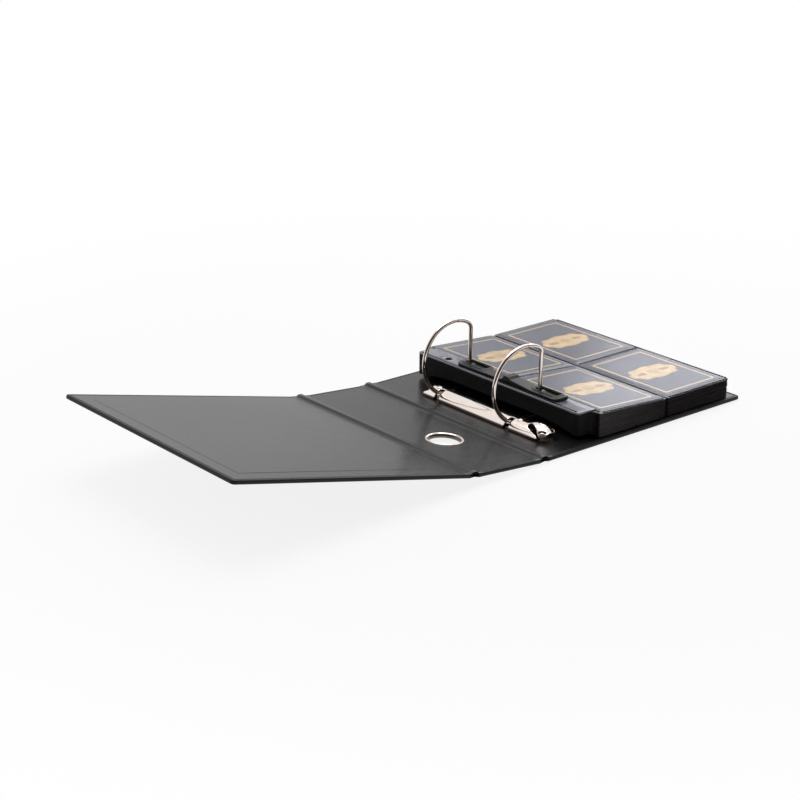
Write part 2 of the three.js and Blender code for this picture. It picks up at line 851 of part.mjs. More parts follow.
function topPageBacking() {
  const section = polygon([
    [weldX + weldGap, leafFloorAt(weldX + weldGap)],
    [columnFoldX, topForeEdgeZ],
    [foreEdgeX, topForeEdgeZ],
    [foreEdgeX, topForeEdgeZ + backingThickness],
    [columnFoldX, topForeEdgeZ + backingThickness],
    [weldX + weldGap, leafFloorAt(weldX + weldGap) + backingThickness],
  ]);
  const plan = uprightPrism(roundedOutline(
    [weldX + weldGap, -pageHeight / 2],
    [foreEdgeX, pageHeight / 2],
    pageCornerRadius,
    pageCornerRadius,
  ), 0, topWeldZ + overshoot);
  const body = prismAlongY(section, -pageHeight / 2, pageHeight / 2).intersect(plan);
  return namedMesh('top_page_backing', body, filmMaterial);
}

// The height of the leaf's underside over the inner column
function leafFloorAt(x) {
  const share = (x - weldX) / (columnFoldX - weldX);
  return topBindingZ + (topForeEdgeZ - topBindingZ) * share;
}

// A pocket and its card, laid flat with the centre of the leaf's underside at
// the origin, then placed on its column
function pocket(row, column) {
  const inner = column === 'inner';
  const x0 = inner ? weldX + weldGap : columnFoldX;
  const x1 = inner ? columnFoldX : foreEdgeX;
  const z0 = inner ? leafFloorAt(x0) : topForeEdgeZ;
  const halfWidth = (x1 - x0) / 2 - pocketMargin;
  const halfHeight = pageHeight / 4 - pocketMargin;
  const cardFloor = backingThickness + pocketGap;
  const windowFloor = cardFloor + cardThickness + pocketGap;
  const windowTop = windowFloor + windowThickness;
  const card = uprightPrism(roundedOutline(
    [-cardWidth / 2, -cardHeight / 2], [cardWidth / 2, cardHeight / 2], cardRadius, cardRadius,
  ), cardFloor, cardFloor + cardThickness);
  const window = uprightPrism(roundedOutline(
    [-halfWidth, -halfHeight], [halfWidth, halfHeight], cardRadius, cardRadius,
  ), cardFloor, windowTop).subtract(uprightPrism(roundedOutline(
    [pocketRim - halfWidth, pocketRim - halfHeight],
    [halfWidth - pocketRim, halfHeight - pocketRim],
    cardRadius,
    cardRadius,
  ), 0, windowFloor));
  const place = new THREE.Group();
  const side = row === 'near' ? -1 : 1;
  place.position.set((x0 + x1) / 2, side * pageHeight / 4, (z0 + topForeEdgeZ) / 2);
  place.rotation.y = Math.atan2(z0 - topForeEdgeZ, x1 - x0);
  place.add(namedMesh(`${row}_${column}_card`, card, cardMaterial));
  place.add(namedMesh(`${row}_${column}_window`, window, windowMaterial));
  return place;
}

function topPage() {
  const pockets = ['near', 'far'].flatMap((row) => (
    ['inner', 'outer'].map((column) => pocket(row, column))
  ));
  return [topPageStrip(), topPageBacking(), ...pockets];
}

// Compressor bar: a long moulded bar with a slot for each post and a raised grip

function compressorBar() {
  const humpTop = barTop + humpHeight;
  const side = polygon([
    [barFarY, barFloor],
    [barFarY, barTop],
    [humpFarY + humpFarRamp, barTop],
    [humpFarY, humpTop],
    [humpNearY, humpTop],
    [humpNearY - humpNearRamp, barTop + humpShoulder],
    [slotLead - ringY, barTop],
    [barNearY + barLipRamp, barTop],
    [barNearY, barTop + barLip],
    [barNearY, barFloor],
  ]);
  const body = prismAlongX(side, barStartX, barEndX);
  const farBlockEnd = ringY + slotLead - slotLength - slotRadius * 2;
  const farBlock = barPlan(barFarY, farBlockEnd, barFarRadius, slotRadius);
  const nearBlock = barPlan(slotLead + slotRadius - ringY, barNearY, slotRadius, barNearRadius);
  const waist = block(
    [barStartX, -ringY, 0],
    [barEndX - barWaistInset, ringY, humpTop + overshoot],
  );
  const plan = farBlock.add(nearBlock).add(waist);
  const slots = [-ringY, ringY].map((y) => uprightPrism(roundedOutline(
    [postX - wireRadius - slotPlay, y + slotLead - slotLength],
    [postX + wireRadius + slotSwing, y + slotLead],
    slotRadius,
    slotRadius,
  ), 0, humpTop + overshoot));
  return namedMesh('compressor_bar', subtractAll(body.intersect(plan), slots), compressorMaterial);
}

// A block of the bar's full width, with its own radius at the far and near ends
function barPlan(farY, nearY, farRadius, nearRadius) {
  const outline = new THREE.Shape();
  outline.moveTo(barStartX, farY - farRadius);
  outline.lineTo(barStartX, nearY + nearRadius);
  outline.absarc(barStartX + nearRadius, nearY + nearRadius, nearRadius, Math.PI, Math.PI * 1.5);
  outline.absarc(barEndX - nearRadius, nearY + nearRadius, nearRadius, -Math.PI / 2, 0);
  outline.absarc(barEndX - farRadius, farY - farRadius, farRadius, 0, Math.PI / 2);
  outline.absarc(barStartX + farRadius, farY - farRadius, farRadius, Math.PI / 2, Math.PI);
  return uprightPrism(outline, 0, barTop + humpHeight + overshoot);
}

// Assembly. The case group's origin is the spine hinge at the cover's inner face.

function radians(degrees) {
  return degrees * Math.PI / 180;
}

function frontCoverGroup() {
  const group = new THREE.Group();
  group.position.set(-spineWidth, 0, 0);
  group.rotation.y = radians(frontCoverTilt);
  group.add(...frontCoverMeshes());
  return group;
}

function spineGroup() {
  const group = new THREE.Group();
  group.position.set(0, 0, -caseHalf);
  group.rotation.y = radians(spineTilt);
  const coverWelt = hingeWelt('cover_hinge_welt');
  coverWelt.position.set(-spineWidth, 0, 0);
  group.add(...spineMeshes(), coverWelt, frontCoverGroup());
  return group;
}

function backCoverGroup() {
  const group = new THREE.Group();
  group.position.set(0, 0, -caseHalf);
  group.add(...backCoverMeshes(), hingeWelt('spine_hinge_welt'));
  return group;
}

function mechanismMeshes() {
  return [
    mechanismPlate(),
    ...blades(),
    rivet('near_rivet', -rivetY),
    rivet('far_rivet', rivetY),
    leftRingHalf('near_left_ring', -ringY),
    leftRingHalf('far_left_ring', ringY),
    rightRingHalf('near_right_ring', -ringY),
    rightRingHalf('far_right_ring', ringY),
    openingLever(),
    leverPin(),
  ];
}

const binder = new THREE.Group();
const bookCase = new THREE.Group();
bookCase.position.set(-backCoverWidth / 2, 0, caseThickness);
bookCase.add(
  backCoverGroup(),
  spineGroup(),
  ...mechanismMeshes(),
  ...lowerPages(),
  ...topPage(),
  compressorBar(),
);
binder.add(bookCase);

export default binder;
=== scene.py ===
"""Trading card ring binder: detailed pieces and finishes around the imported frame.

Plain sizes of the case, the rings and the pages are in millimetres. The frame's
places, the stage and every finished mesh are in metres. Case places are measured
from the spine hinge on the inner face of the back cover: x to the fore-edge, y
along the spine, z up.
"""

import json
import math

import bmesh
import bpy
import numpy as np
from mathutils import Matrix, Vector
from mathutils.geometry import delaunay_2d_cdt


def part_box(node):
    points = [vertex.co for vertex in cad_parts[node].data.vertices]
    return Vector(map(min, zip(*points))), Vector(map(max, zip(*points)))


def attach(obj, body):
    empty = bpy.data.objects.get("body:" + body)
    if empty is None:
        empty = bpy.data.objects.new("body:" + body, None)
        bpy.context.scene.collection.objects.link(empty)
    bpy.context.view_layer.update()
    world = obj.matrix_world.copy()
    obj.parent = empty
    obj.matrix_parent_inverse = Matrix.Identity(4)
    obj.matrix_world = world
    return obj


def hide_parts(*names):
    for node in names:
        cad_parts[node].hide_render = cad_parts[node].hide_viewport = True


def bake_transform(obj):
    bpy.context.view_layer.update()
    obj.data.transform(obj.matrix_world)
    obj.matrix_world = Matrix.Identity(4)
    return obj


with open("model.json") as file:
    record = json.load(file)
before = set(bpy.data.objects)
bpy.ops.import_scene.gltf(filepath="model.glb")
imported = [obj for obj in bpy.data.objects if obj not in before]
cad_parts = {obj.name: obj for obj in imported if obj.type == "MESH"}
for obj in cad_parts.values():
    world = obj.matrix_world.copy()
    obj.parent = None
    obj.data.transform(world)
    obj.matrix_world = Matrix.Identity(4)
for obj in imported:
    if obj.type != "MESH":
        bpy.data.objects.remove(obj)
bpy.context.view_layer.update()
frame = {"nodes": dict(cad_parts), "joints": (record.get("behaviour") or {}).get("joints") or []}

bl_info = {
    "name": "Card Ring Binder",
    "version": (1, 0, 0),
    "blender": (4, 5, 0),
    "location": "View3D > Sidebar > Binder",
    "description": "Builds the visible pieces of a trading card ring binder",
    "category": "Object",
}

MM = 0.001

# Places and sizes. The frame's places are vectors and matrices in metres, its
# tilts are in radians, and all other sizes are in millimetres.


def joint(name):
    """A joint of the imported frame."""
    return next(j for j in frame["joints"] if j["name"] == name)


def node_size(node, axis):
    """A node's size along an axis, in millimetres."""
    low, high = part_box(node)
    return (high[axis] - low[axis]) / MM


SPINE_HINGE = Vector(joint("spine_hinge")["pos_m"])
COVER_HINGE = Vector(joint("cover_hinge")["pos_m"])
SPINE_TILT = math.radians(joint("spine_hinge")["range_deg"][1])
COVER_TILT = math.radians(joint("cover_hinge")["range_deg"][1])
CASE_THICKNESS = node_size("back_cover_wrap", 2)
CASE_HALF = CASE_THICKNESS / 2
CASE_ORIGIN = SPINE_HINGE + Vector((0, 0, CASE_HALF * MM))
CASE_LENGTH = node_size("back_cover_wrap", 1)
CARD_WIDTH = node_size("near_outer_card", 0)
CARD_HEIGHT = node_size("near_outer_card", 1)
HINGE_CLEAR = 3.8
SPINE_WIDTH = 68.6
COVER_WIDTH = 213.0
BACK_WIDTH = 214.0
PANEL_FRAMES = {
    "back_cover": Matrix.Translation(SPINE_HINGE),
    "spine": Matrix.Translation(SPINE_HINGE) @ Matrix.Rotation(SPINE_TILT, 4, "Y"),
    "front_cover": Matrix.Translation(COVER_HINGE)
    @ Matrix.Rotation(SPINE_TILT + COVER_TILT, 4, "Y"),
}
CASE_FRAME = Matrix.Translation(CASE_ORIGIN)

RING_PLACES = (-40.0, 40.0)
RING_CENTRE = (36.2, 31.8)
RING_RADIUS = 30.2
WIRE_RADIUS = 1.7
RING_SPLIT = 2.8
RING_GAP = 0.4
POST_X = 53.8
POST_BENDS = (6.0, 4.0)
FOOT_LEVEL = 5.2
FOOT_END = (3.4, 3.6)
PLATE_X = 28.0
PLATE_HALF = 10.0
PLATE_CROWN = 7.4
PLATE_THICKNESS = 0.9
PLATE_FAR_Y = 51.5
PLATE_NEAR_Y = -57.0
PLATE_THROAT_X = 6.4
EAR_FAR_Y = 55.8
EAR_REACH = 8.3
# The plate's near ear: place across it, place along it and radius of each corner
NEAR_EAR = (
    (9.3, -67.5, 2.0), (8.8, -73.6, 0.4), (7.6, -71.2, 1.5), (6.5, -64.6, 4.0), (4.4, -58.9, 2.5),
    (2.0, PLATE_NEAR_Y, 2.0),
)
NOTCH_HALF = 2.6
RIVET_PLACES = (-46.4, 46.4)
RIVET_SEAT = 0.32
SEAT_REACH = 4.2
RIVET_HOLE = 1.85
# The lever's pin: place along the plate and height
LEVER_PIN = (-61.0, 2.0)
ARCH_RADIUS = (PLATE_HALF**2 + PLATE_CROWN**2) / (2 * PLATE_CROWN)
ARCH_CENTRE_Z = PLATE_CROWN - ARCH_RADIUS

BINDING_X = 43.5
STRIP_END_X = 57.0
WELD_X = 60.8
FOLD_X = 132.6
FORE_X = 205.3
PAGE_HALF = 99.0
STRIP_HALF = 91.5
PAGE_BENDS = (STRIP_END_X, WELD_X, FOLD_X)
LOWER_PAGES = 13
PAGE_THICKNESS = 0.68
BINDING_FLOOR = 7.3
BINDING_PITCH = 0.92
FORE_FLOOR = 0.6
FORE_PITCH = 1.1
STRIP_RISE = 0.9
STRIP_CORNER = 2.6
SCOOP_X = 58.6
PAGE_CORNER = 5.0
NICK_HALF = 1.7
NICK_DEPTH = 2.2
# The spare holes: place across the page, distance from its middle and radius
SPARE_HOLE = (51.0, 62.4, 2.9)
SAG_START_Y = 48.0
WELD_LEVEL = 0.17
TOP_BINDING_Z = 19.27
TOP_FORE_Z = 14.73
STRIP_TOP_Z = 21.47
BACKING = 0.35

BAR_START_X = 46.5
BAR_END_X = 60.3
BAR_FAR_Y = 49.5
BAR_NEAR_Y = -65.5
BAR_FLOOR = 21.77
BAR_TOP = 24.17
BAR_WAIST = 2.7
# The bar's top: place along it, and height over its flat top
BAR_LEVELS = (
    (BAR_NEAR_Y, 1.0), (-61.5, 0.0), (-36.5, 0.0), (-23.8, 1.2), (-13.4, 2.1), (-12.6, 3.8),
    (-6.0, 3.8), (-5.2, 0.7), (-1.0, 0.0), (BAR_FAR_Y, 0.0),
)
GRIP_LINES = (-7.4, -9.0, -10.6)
SLOT_NEAR = 19.0
SLOT_FAR = 3.5
WEB_CLEAR = 1.9
DIMPLE = (55.2, 17.2)

# Outlines. Each is an array of 2D points, counter-clockwise round a piece and
# clockwise round a hole, so that the material is always on the left.


def filleted(corners, steps=5):
    """A closed outline through (x, y, radius) corners, each rounded by its radius."""
    loop = []
    for index, (x, y, radius) in enumerate(corners):
        here = np.array((x, y), float)
        before = np.array(corners[index - 1][:2], float) - here
        after = np.array(corners[(index + 1) % len(corners)][:2], float) - here
        before /= np.linalg.norm(before)
        after /= np.linalg.norm(after)
        half = math.acos(max(-1.0, min(1.0, float(before @ after)))) / 2
        if radius <= 0 or half > math.radians(89):
            loop.append(here)
            continue
        reach = radius / math.tan(half)
        bisector = (before + after) / np.linalg.norm(before + after)
        centre = here + bisector * radius / math.sin(half)
        spokes = [here + way * reach - centre for way in (before, after)]
        first, last = (math.atan2(v[1], v[0]) for v in spokes)
        turn = (last - first + math.pi) % (2 * math.pi) - math.pi
        for step in range(steps + 1):
            angle = first + turn * step / steps
            loop.append(centre + radius * np.array((math.cos(angle), math.sin(angle))))
    return np.array(loop)


def rectangle(x0, y0, x1, y1, radius=0.0, steps=5):
    """A rectangle with rounded corners."""
    return filleted([(x0, y0, radius), (x1, y0, radius), (x1, y1, radius), (x0, y1, radius)], steps)


def curved(points, steps=6):
    """A smooth closed outline through points."""
    here = np.array(points, float)
    before, after, later = (np.roll(here, shift, 0) for shift in (1, -1, -2))
    rows = [
        0.5 * (2 * here + (after - before) * s + (2 * before - 5 * here + 4 * after - later) * s**2
               + (3 * here - before - 3 * after + later) * s**3)
        for s in np.arange(steps) / steps
    ]
    return np.stack(rows, 1).reshape(-1, 2)


def circle(x, y, radius, steps=32):
    """A round outline."""
    angles = np.arange(steps) * 2 * math.pi / steps
    return np.stack([x + radius * np.cos(angles), y + radius * np.sin(angles)], 1)


def hole(loop):
    """An outline turned clockwise, to bound a hole."""
    return np.asarray(loop)[::-1]


def subdivided(loop, spacing, columns=()):
    """An outline with its long sides split, and a point wherever it crosses a column."""
    points = []
    for start, end in zip(loop, np.roll(loop, -1, axis=0)):
        reach = end[0] - start[0]
        cuts = [0.0, 1.0]
        if abs(reach) > 1e-6:
            cuts += [s for s in ((c - start[0]) / reach for c in columns) if 0.001 < s < 0.999]
        cuts.sort()
        length = np.linalg.norm(end - start)
        for low, high in zip(cuts, cuts[1:]):
            parts = max(1, math.ceil((high - low) * length / spacing))
            shares = low + (high - low) * np.arange(parts) / parts
            points += [start + (end - start) * share for share in shares]
    return np.array(points)


def inward(loop):
    """At each point of an outline, the step that moves both its sides in by one."""
    before = loop - np.roll(loop, 1, axis=0)
    after = np.roll(loop, -1, axis=0) - loop
    normals = [np.stack([-d[:, 1], d[:, 0]], 1) for d in (before, after)]
    normals = [n / np.maximum(np.linalg.norm(n, axis=1), 1e-9)[:, None] for n in normals]
    middle = normals[0] + normals[1]
    middle /= np.maximum(np.linalg.norm(middle, axis=1), 1e-9)[:, None]
    lean = np.maximum((middle * normals[0]).sum(1), 0.5)
    return middle / lean[:, None]


def inside(points, loops):
    """Which points lie in the material that outlines and holes bound."""
    found = np.zeros(len(points), bool)
    x, y = points[:, :1], points[:, 1:]
    for loop in loops:
        ahead = np.roll(loop, -1, axis=0)
        straddles = (loop[:, 1] > y) != (ahead[:, 1] > y)
        rise = np.where(ahead[:, 1] == loop[:, 1], 1e-12, ahead[:, 1] - loop[:, 1])
        crossing = loop[:, 0] + (y - loop[:, 1]) * (ahead[:, 0] - loop[:, 0]) / rise
        found ^= (straddles & (x < crossing)).sum(1) % 2 == 1
    return found


def edge_distance(points, loops):
    """How far each point is from the nearest outline."""
    start = np.concatenate(loops)
    end = np.concatenate([np.roll(loop, -1, axis=0) for loop in loops])
    side = end - start
    nearest = np.full(len(points), 1e9)
    for first in range(0, len(points), 2000):
        part = points[first : first + 2000, None, :] - start
        share = np.clip((part * side).sum(2) / np.maximum((side**2).sum(1), 1e-12), 0, 1)
        gap = np.linalg.norm(part - share[..., None] * side, axis=2).min(1)
        nearest[first : first + 2000] = gap
    return nearest


def filled(loops, step, columns):
    """Flat points and triangles that fill outlines round their holes, and where each outline point went."""
    edges, first = [], 0
    for loop in loops:
        count = len(loop)
        edges += [(first + i, first + (i + 1) % count) for i in range(count)]
        first += count
    rim = np.concatenate(loops)
    grid = np.zeros((0, 2))
    if step:
        low, high = loops[0].min(0), loops[0].max(0)
        across = np.arange(low[0] + step[0] / 2, high[0], step[0])
        across = [x for x in across if all(abs(x - c) > step[0] * 0.4 for c in columns)]
        across = np.sort(np.concatenate([across, [c for c in columns if low[0] < c < high[0]]]))
        along = np.arange(low[1] + step[1] / 2, high[1], step[1])
        grid = np.stack(np.meshgrid(across, along), -1).reshape(-1, 2)
        grid = grid[inside(grid, loops)]
        grid = grid[edge_distance(grid, loops) > min(step) * 0.35]
    points = [Vector(p) for p in np.concatenate([rim, grid])]
    made, _, faces, origins, _, _ = delaunay_2d_cdt(points, edges, [], 0, 1e-6)
    flat = np.array([tuple(p) for p in made])
    centres = np.array([flat[list(f)].mean(0) for f in faces])
    kept = [tuple(f) for f, keep in zip(faces, inside(centres, loops)) if keep]
    went = {source: index for index, sources in enumerate(origins) for source in sources}
    return flat, kept, [went[i] for i in range(len(rim))]


def rounding(radius, steps=3):
    """The profile of a rounded edge: how far in and how far down each row is."""
    angles = [math.pi / 2 * k / steps for k in range(steps + 1)]
    return [(radius * (1 - math.sin(a)), radius * (1 - math.cos(a))) for a in angles]


def lipped(thickness, lip):
    """The upper half of a page's edge: two films that part at the middle."""
    half = thickness / 2
    return [(lip, 0.0), (0.06, 0.05), (0.0, 0.14), (0.05, half * 0.72), (0.28, half)]


# Forms. A form gathers points in millimetres and faces, then becomes a piece.


class Form:
    """The points and faces of one piece while it is being made."""

    def __init__(self):
        self.points = []
        self.faces = []
        self.finishes = []
        self.count = 0

    def add(self, points, faces, finish=0):
        """Adds points, and faces that number them from zero."""
        points = np.asarray(points, float).reshape(-1, 3)
        self.points.append(points)
        self.faces += [tuple(i + self.count for i in face) for face in faces]
        self.finishes += [finish] * len(faces)
        self.count += len(points)

    def moved(self, warp):
        """Moves every point so far by a function."""
        self.points = [warp(part) for part in self.points]

    def rows(self, rows, cap=False, finish=0):
        """Adds a skin over rows of points, closed round each row and capped if asked."""
        count = len(rows[0])
        faces = []
        for here in range(0, (len(rows) - 1) * count, count):
            for i in range(count):
                j = (i + 1) % count
                faces.append((here + i, here + j, here + count + j, here + count + i))
        points = np.concatenate(rows)
        if cap:
            last = len(points)
            points = np.concatenate([points, [np.mean(rows[0], 0), np.mean(rows[-1], 0)]])
            top = (len(rows) - 1) * count
            for i in range(count):
                j = (i + 1) % count
                faces.append((last, j, i))
                faces.append((last + 1, top + i, top + j))
        self.add(points, faces, finish)

    def slab(
        self, loops, top, bottom, upper, lower=None, step=None, columns=(), finish=0,
        at_holes=None, face=None, margin=0.0,
    ):
        """Adds a closed sheet or block over an outline and its holes.

        top and bottom are heights, as numbers or as functions of x and y. upper
        and lower are edge profiles of (inset, drop) rows from each face, and
        at_holes stands for upper where it meets a hole. face is the finish of the
        flat top, if it has its own. margin is the width of a ring inside each rim
        that stays level, so that the rounding doesn't shade the flat faces."""
        lower = upper if lower is None else lower
        at_holes = upper if at_holes is None else at_holes
        if margin:
            edges = (upper, lower, at_holes)
            upper, lower, at_holes = ([(edge[0][0] + margin, 0.0), *edge] for edge in edges)
        loops = [np.asarray(loop, float) for loop in loops]
        steps_in = [inward(loop) for loop in loops]
        sizes = [len(loop) for loop in loops]

        def per_loop(outer, inner):
            return [outer] + [inner] * (len(loops) - 1)

        def ring(outer, inner):
            insets = per_loop(outer, inner)
            return [loop + way * inset for loop, way, inset in zip(loops, steps_in, insets)]

        def raised(flat, height, offset):
            level = height(flat[:, 0], flat[:, 1]) if callable(height) else height
            return np.column_stack([flat, np.broadcast_to(level, len(flat)) + offset])

        flat, faces, rim = filled(ring(upper[0][0], at_holes[0][0]), step, columns)
        if lower != upper or at_holes != upper:
            flat_low, faces_low, rim_low = filled(ring(lower[0][0], lower[0][0]), step, columns)
        else:
            flat_low, faces_low, rim_low = flat, faces, rim
        parts = [raised(flat, top, 0.0), raised(flat_low, bottom, 0.0)]
        low_start = len(flat)
        all_faces = faces + [tuple(low_start + i for i in f)[::-1] for f in faces_low]
        numbers = [rim]
        used = len(flat) + len(flat_low)
        middles = [(top, a[0], b[0], -a[1], -b[1]) for a, b in zip(upper[1:], at_holes[1:])]
        middles += [(bottom, inset, inset, drop, drop) for inset, drop in lower[:0:-1]]
        for height, outer, inner, offset, hole_offset in middles:
            offsets = np.repeat(per_loop(offset, hole_offset), sizes)
            row = raised(np.concatenate(ring(outer, inner)), height, offsets)
            parts.append(row)
            numbers.append(range(used, used + len(row)))
            used += len(row)
        numbers.append([low_start + i for i in rim_low])
        for above, below in zip(numbers, numbers[1:]):
            first = 0
            for loop in loops:
                for i in range(len(loop)):
                    a, b = first + i, first + (i + 1) % len(loop)
                    all_faces.append((above[a], below[a], below[b], above[b]))
                first += len(loop)
        first = len(self.finishes)
        self.add(np.concatenate(parts), all_faces, finish)
        if face is not None:
            self.finishes[first : first + len(faces)] = [face] * len(faces)

    def piece(self, name, finishes, slot, body=None, place=CASE_FRAME, sharp=40.0):
        """Makes the object in the named finishes, with its faces turned out, and sets what it rides on."""
        mesh = bpy.data.meshes.new(name)
        points = np.concatenate(self.points) * MM
        mesh.from_pydata(points.tolist(), [], self.faces)
        mesh.polygons.foreach_set("material_index", self.finishes)
        work = bmesh.new()
        work.from_mesh(mesh)
        bmesh.ops.remove_doubles(work, verts=work.verts, dist=1e-7)
        bmesh.ops.dissolve_degenerate(work, edges=work.edges, dist=1e-8)
        bmesh.ops.recalc_face_normals(work, faces=work.faces)
        work.to_mesh(mesh)
        work.free()
        for finish in finishes:
            mesh.materials.append(finish_named(finish))
        mesh.shade_smooth()
        mesh.set_sharp_from_angle(angle=math.radians(sharp))
        piece = bpy.data.objects.new(name, mesh)
        bpy.context.scene.collection.objects.link(piece)
        piece.matrix_world = place
        if body:
            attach(piece, body)
        return piece


def turned(form, profile, centre, steps=64, finish=0):
    """Adds a profile of (radius, height) points turned about an upright line."""
    angles = np.arange(steps) * 2 * math.pi / steps
    rows = [
        np.stack([centre[0] + r * np.cos(angles), centre[1] + r * np.sin(angles), np.full(steps, z)], 1)
        for r, z in profile
    ]
    form.rows(rows, finish=finish)


def softened(knots_x, knots_z, spread):
    """A height that follows straight pieces between knots, with its corners eased."""

    def height(x, _y=None):
        steps = np.linspace(-spread, spread, 7)
        return sum(np.interp(x + d, knots_x, knots_z) for d in steps) / len(steps)

    return height


def smooth_rise(gap, reach):
    """1 at no distance, falling smoothly to 0 at a reach."""
    share = np.clip(1 - gap / reach, 0, 1)
    return share * share * (3 - 2 * share)


# Shader maths. A signal is a socket that takes part in Python sums.


class Signal:
    """A shader socket whose sums add their own Math nodes."""

    def __init__(self, shader, socket):
        self.shader = shader
        self.socket = socket

    def math(self, operation, *values):
        settings = {"operation": operation}
        return self.shader.node("ShaderNodeMath", settings, dict(enumerate(values)))

    def __add__(self, other):
        return self.math("ADD", self, other)

    def __sub__(self, other):
        return self.math("SUBTRACT", self, other)

    def __rsub__(self, other):
        return self.math("SUBTRACT", other, self)

    def __mul__(self, other):
        return self.math("MULTIPLY", self, other)

    def __pow__(self, other):
        return self.math("POWER", self, other)

    __radd__ = __add__
    __rmul__ = __mul__

    def between(self, low, high):
        """0 below low, 1 above high and smooth between them."""
        settings = {"interpolation_type": "SMOOTHSTEP"}
        values = {"Value": self, "From Min": low, "From Max": high}
        return self.shader.node("ShaderNodeMapRange", settings, values)


class Shader:
    """The node tree of one material or world."""

    def __init__(self, owner):
        owner.use_nodes = True
        self.owner = owner
        self.tree = owner.node_tree
        self.tree.nodes.clear()

    def node(self, kind, settings=None, inputs=None, output=0):
        """Adds a node, sets it up and feeds its sockets, and gives one of its outputs."""
        made = self.tree.nodes.new(kind)
        for key, value in (settings or {}).items():
            setattr(made, key, value)
        for key, value in (inputs or {}).items():
            self.feed(made.inputs[key], value)
        return Signal(self, made.outputs[output]) if made.outputs else None

    def feed(self, socket, value):
        if isinstance(value, Signal):
            self.tree.links.new(value.socket, socket)
        else:
            socket.default_value = value

    def place(self, scale=(1, 1, 1)):
        """The place on the piece in metres, stretched by a scale."""
        spot = self.node("ShaderNodeTexCoord", output=3)
        return self.node("ShaderNodeVectorMath", {"operation": "MULTIPLY"}, {0: spot, 1: scale})

    def part(self, vector, axis):
        """One of the three numbers of a vector."""
        return self.node("ShaderNodeSeparateXYZ", {}, {0: vector}, output=axis)

    def noise(self, scale, detail=2.0, rough=0.5, stretch=(1, 1, 1)):
        """A cloud of values between 0 and 1, with features of 1/scale metres."""
        values = {"Vector": self.place(stretch), "Scale": scale, "Detail": detail, "Roughness": rough}
        return self.node("ShaderNodeTexNoise", {}, values)

    def cells(self, scale):
        """The distance to the middle of each of a field of rounded cells."""
        values = {"Vector": self.place(), "Scale": scale}
        return self.node("ShaderNodeTexVoronoi", {"feature": "SMOOTH_F1"}, values)

    def mix(self, share, first, second):
        """A colour between two colours."""
        settings = {"data_type": "RGBA"}
        return self.node("ShaderNodeMix", settings, {0: share, 6: first, 7: second}, output=2)

    def tones(self, share, colour, low, high):
        """A colour that goes from a darker tone to a lighter one by a share."""
        return self.mix(share, opaque(colour, low), opaque(colour, high))

    def bump(self, height, depth):
        """A surface normal from a height between 0 and 1 and its depth in metres."""
        return self.node("ShaderNodeBump", {}, {"Height": height, "Distance": depth})

    def blend(self, share, first, second):
        """A shader between two shaders."""
        return self.node("ShaderNodeMixShader", {}, {0: share, 1: first, 2: second})

    def principled(self, **sockets):
        """A Principled shader. Sockets are named in small letters with underscores."""
        names = {key.replace("_", " ").title().replace("Ior", "IOR"): v for key, v in sockets.items()}
        return self.node("ShaderNodeBsdfPrincipled", {}, names)

    def finish(self, surface):
        """Shows a shader on the surface, and gives the material."""
        self.node("ShaderNodeOutputMaterial", {}, {"Surface": surface})
        return self.owner

    def coat(self, **sockets):
        """Finishes the material with a Principled shader."""
        return self.finish(self.principled(**sockets))


def new_shader(name):
    return Shader(bpy.data.materials.new(name))


def opaque(colour, factor=1.0):
    """A colour with its alpha, made lighter or darker by a factor."""
    return (colour[0] * factor, colour[1] * factor, colour[2] * factor, 1.0)


def embossed_skin(colours):
    """The pebbled black skin of the case, with fine creases and slightly worn high spots."""
    s = new_shader("case_skin")
    pebbles = s.cells(1500)
    creases = s.noise(900, 4.0, 0.6)
    height = (1 - pebbles) * 0.6 + creases * 0.4
    cloud = s.noise(9, 3.0)
    worn = creases.between(0.55, 0.8) * 0.35
    return s.coat(
        base_color=s.mix(worn, s.tones(cloud, colours.skin, 0.75, 1.3), opaque(colours.skin, 2.2)),
        roughness=0.34 + creases * 0.12 + cloud * 0.06,
        normal=s.bump(height, 0.00009),
        specular_ior_level=0.22,
    )


def lining_sheet(colours):
    """The smooth lining inside the covers: a satin sheet with a faint grain."""
    s = new_shader("case_lining")
    grain = s.noise(2600, 2.0, 0.7)
    cloud = s.noise(7, 4.0, 0.6)
    return s.coat(
        base_color=s.tones(cloud, colours.lining, 0.85, 1.15),
        roughness=0.23 + cloud * 0.05 + grain * 0.03,
        normal=s.bump(grain * 0.5 + cloud * 2.0, 0.00003),
        specular_ior_level=0.36,
    )


def plated(colours, name, rough, drawn, tone=1.0, shade=None):
    """Nickel plate with fine drawn marks and faint clouding, and painted shade below a height if given."""
    s = new_shader(name)
    marks = s.noise(1400, 3.0, 0.6, drawn)
    cloud = s.noise(70, 3.0)
    colour = s.tones(cloud, colours.nickel, 0.92 * tone, 1.04 * tone)
    # Painted shade: below the given height the plate's foot turns dark, standing for the shadow under its
    # flank.
    if shade:
        height = s.part(s.place(), 2)
        colour = s.mix(height.between(*shade), opaque(colours.painted_foot_shade), colour)
    return s.coat(
        base_color=colour,
        metallic=1.0,
        roughness=rough + cloud * 0.05 + marks.between(0.5, 0.8) * 0.05,
        normal=s.bump(marks + cloud * 0.6, 0.000008),
    )


# Where the page film's bloom begins and is full, in metres from the spine hinge
BLOOM_EDGE = (0.0592, 0.0604)


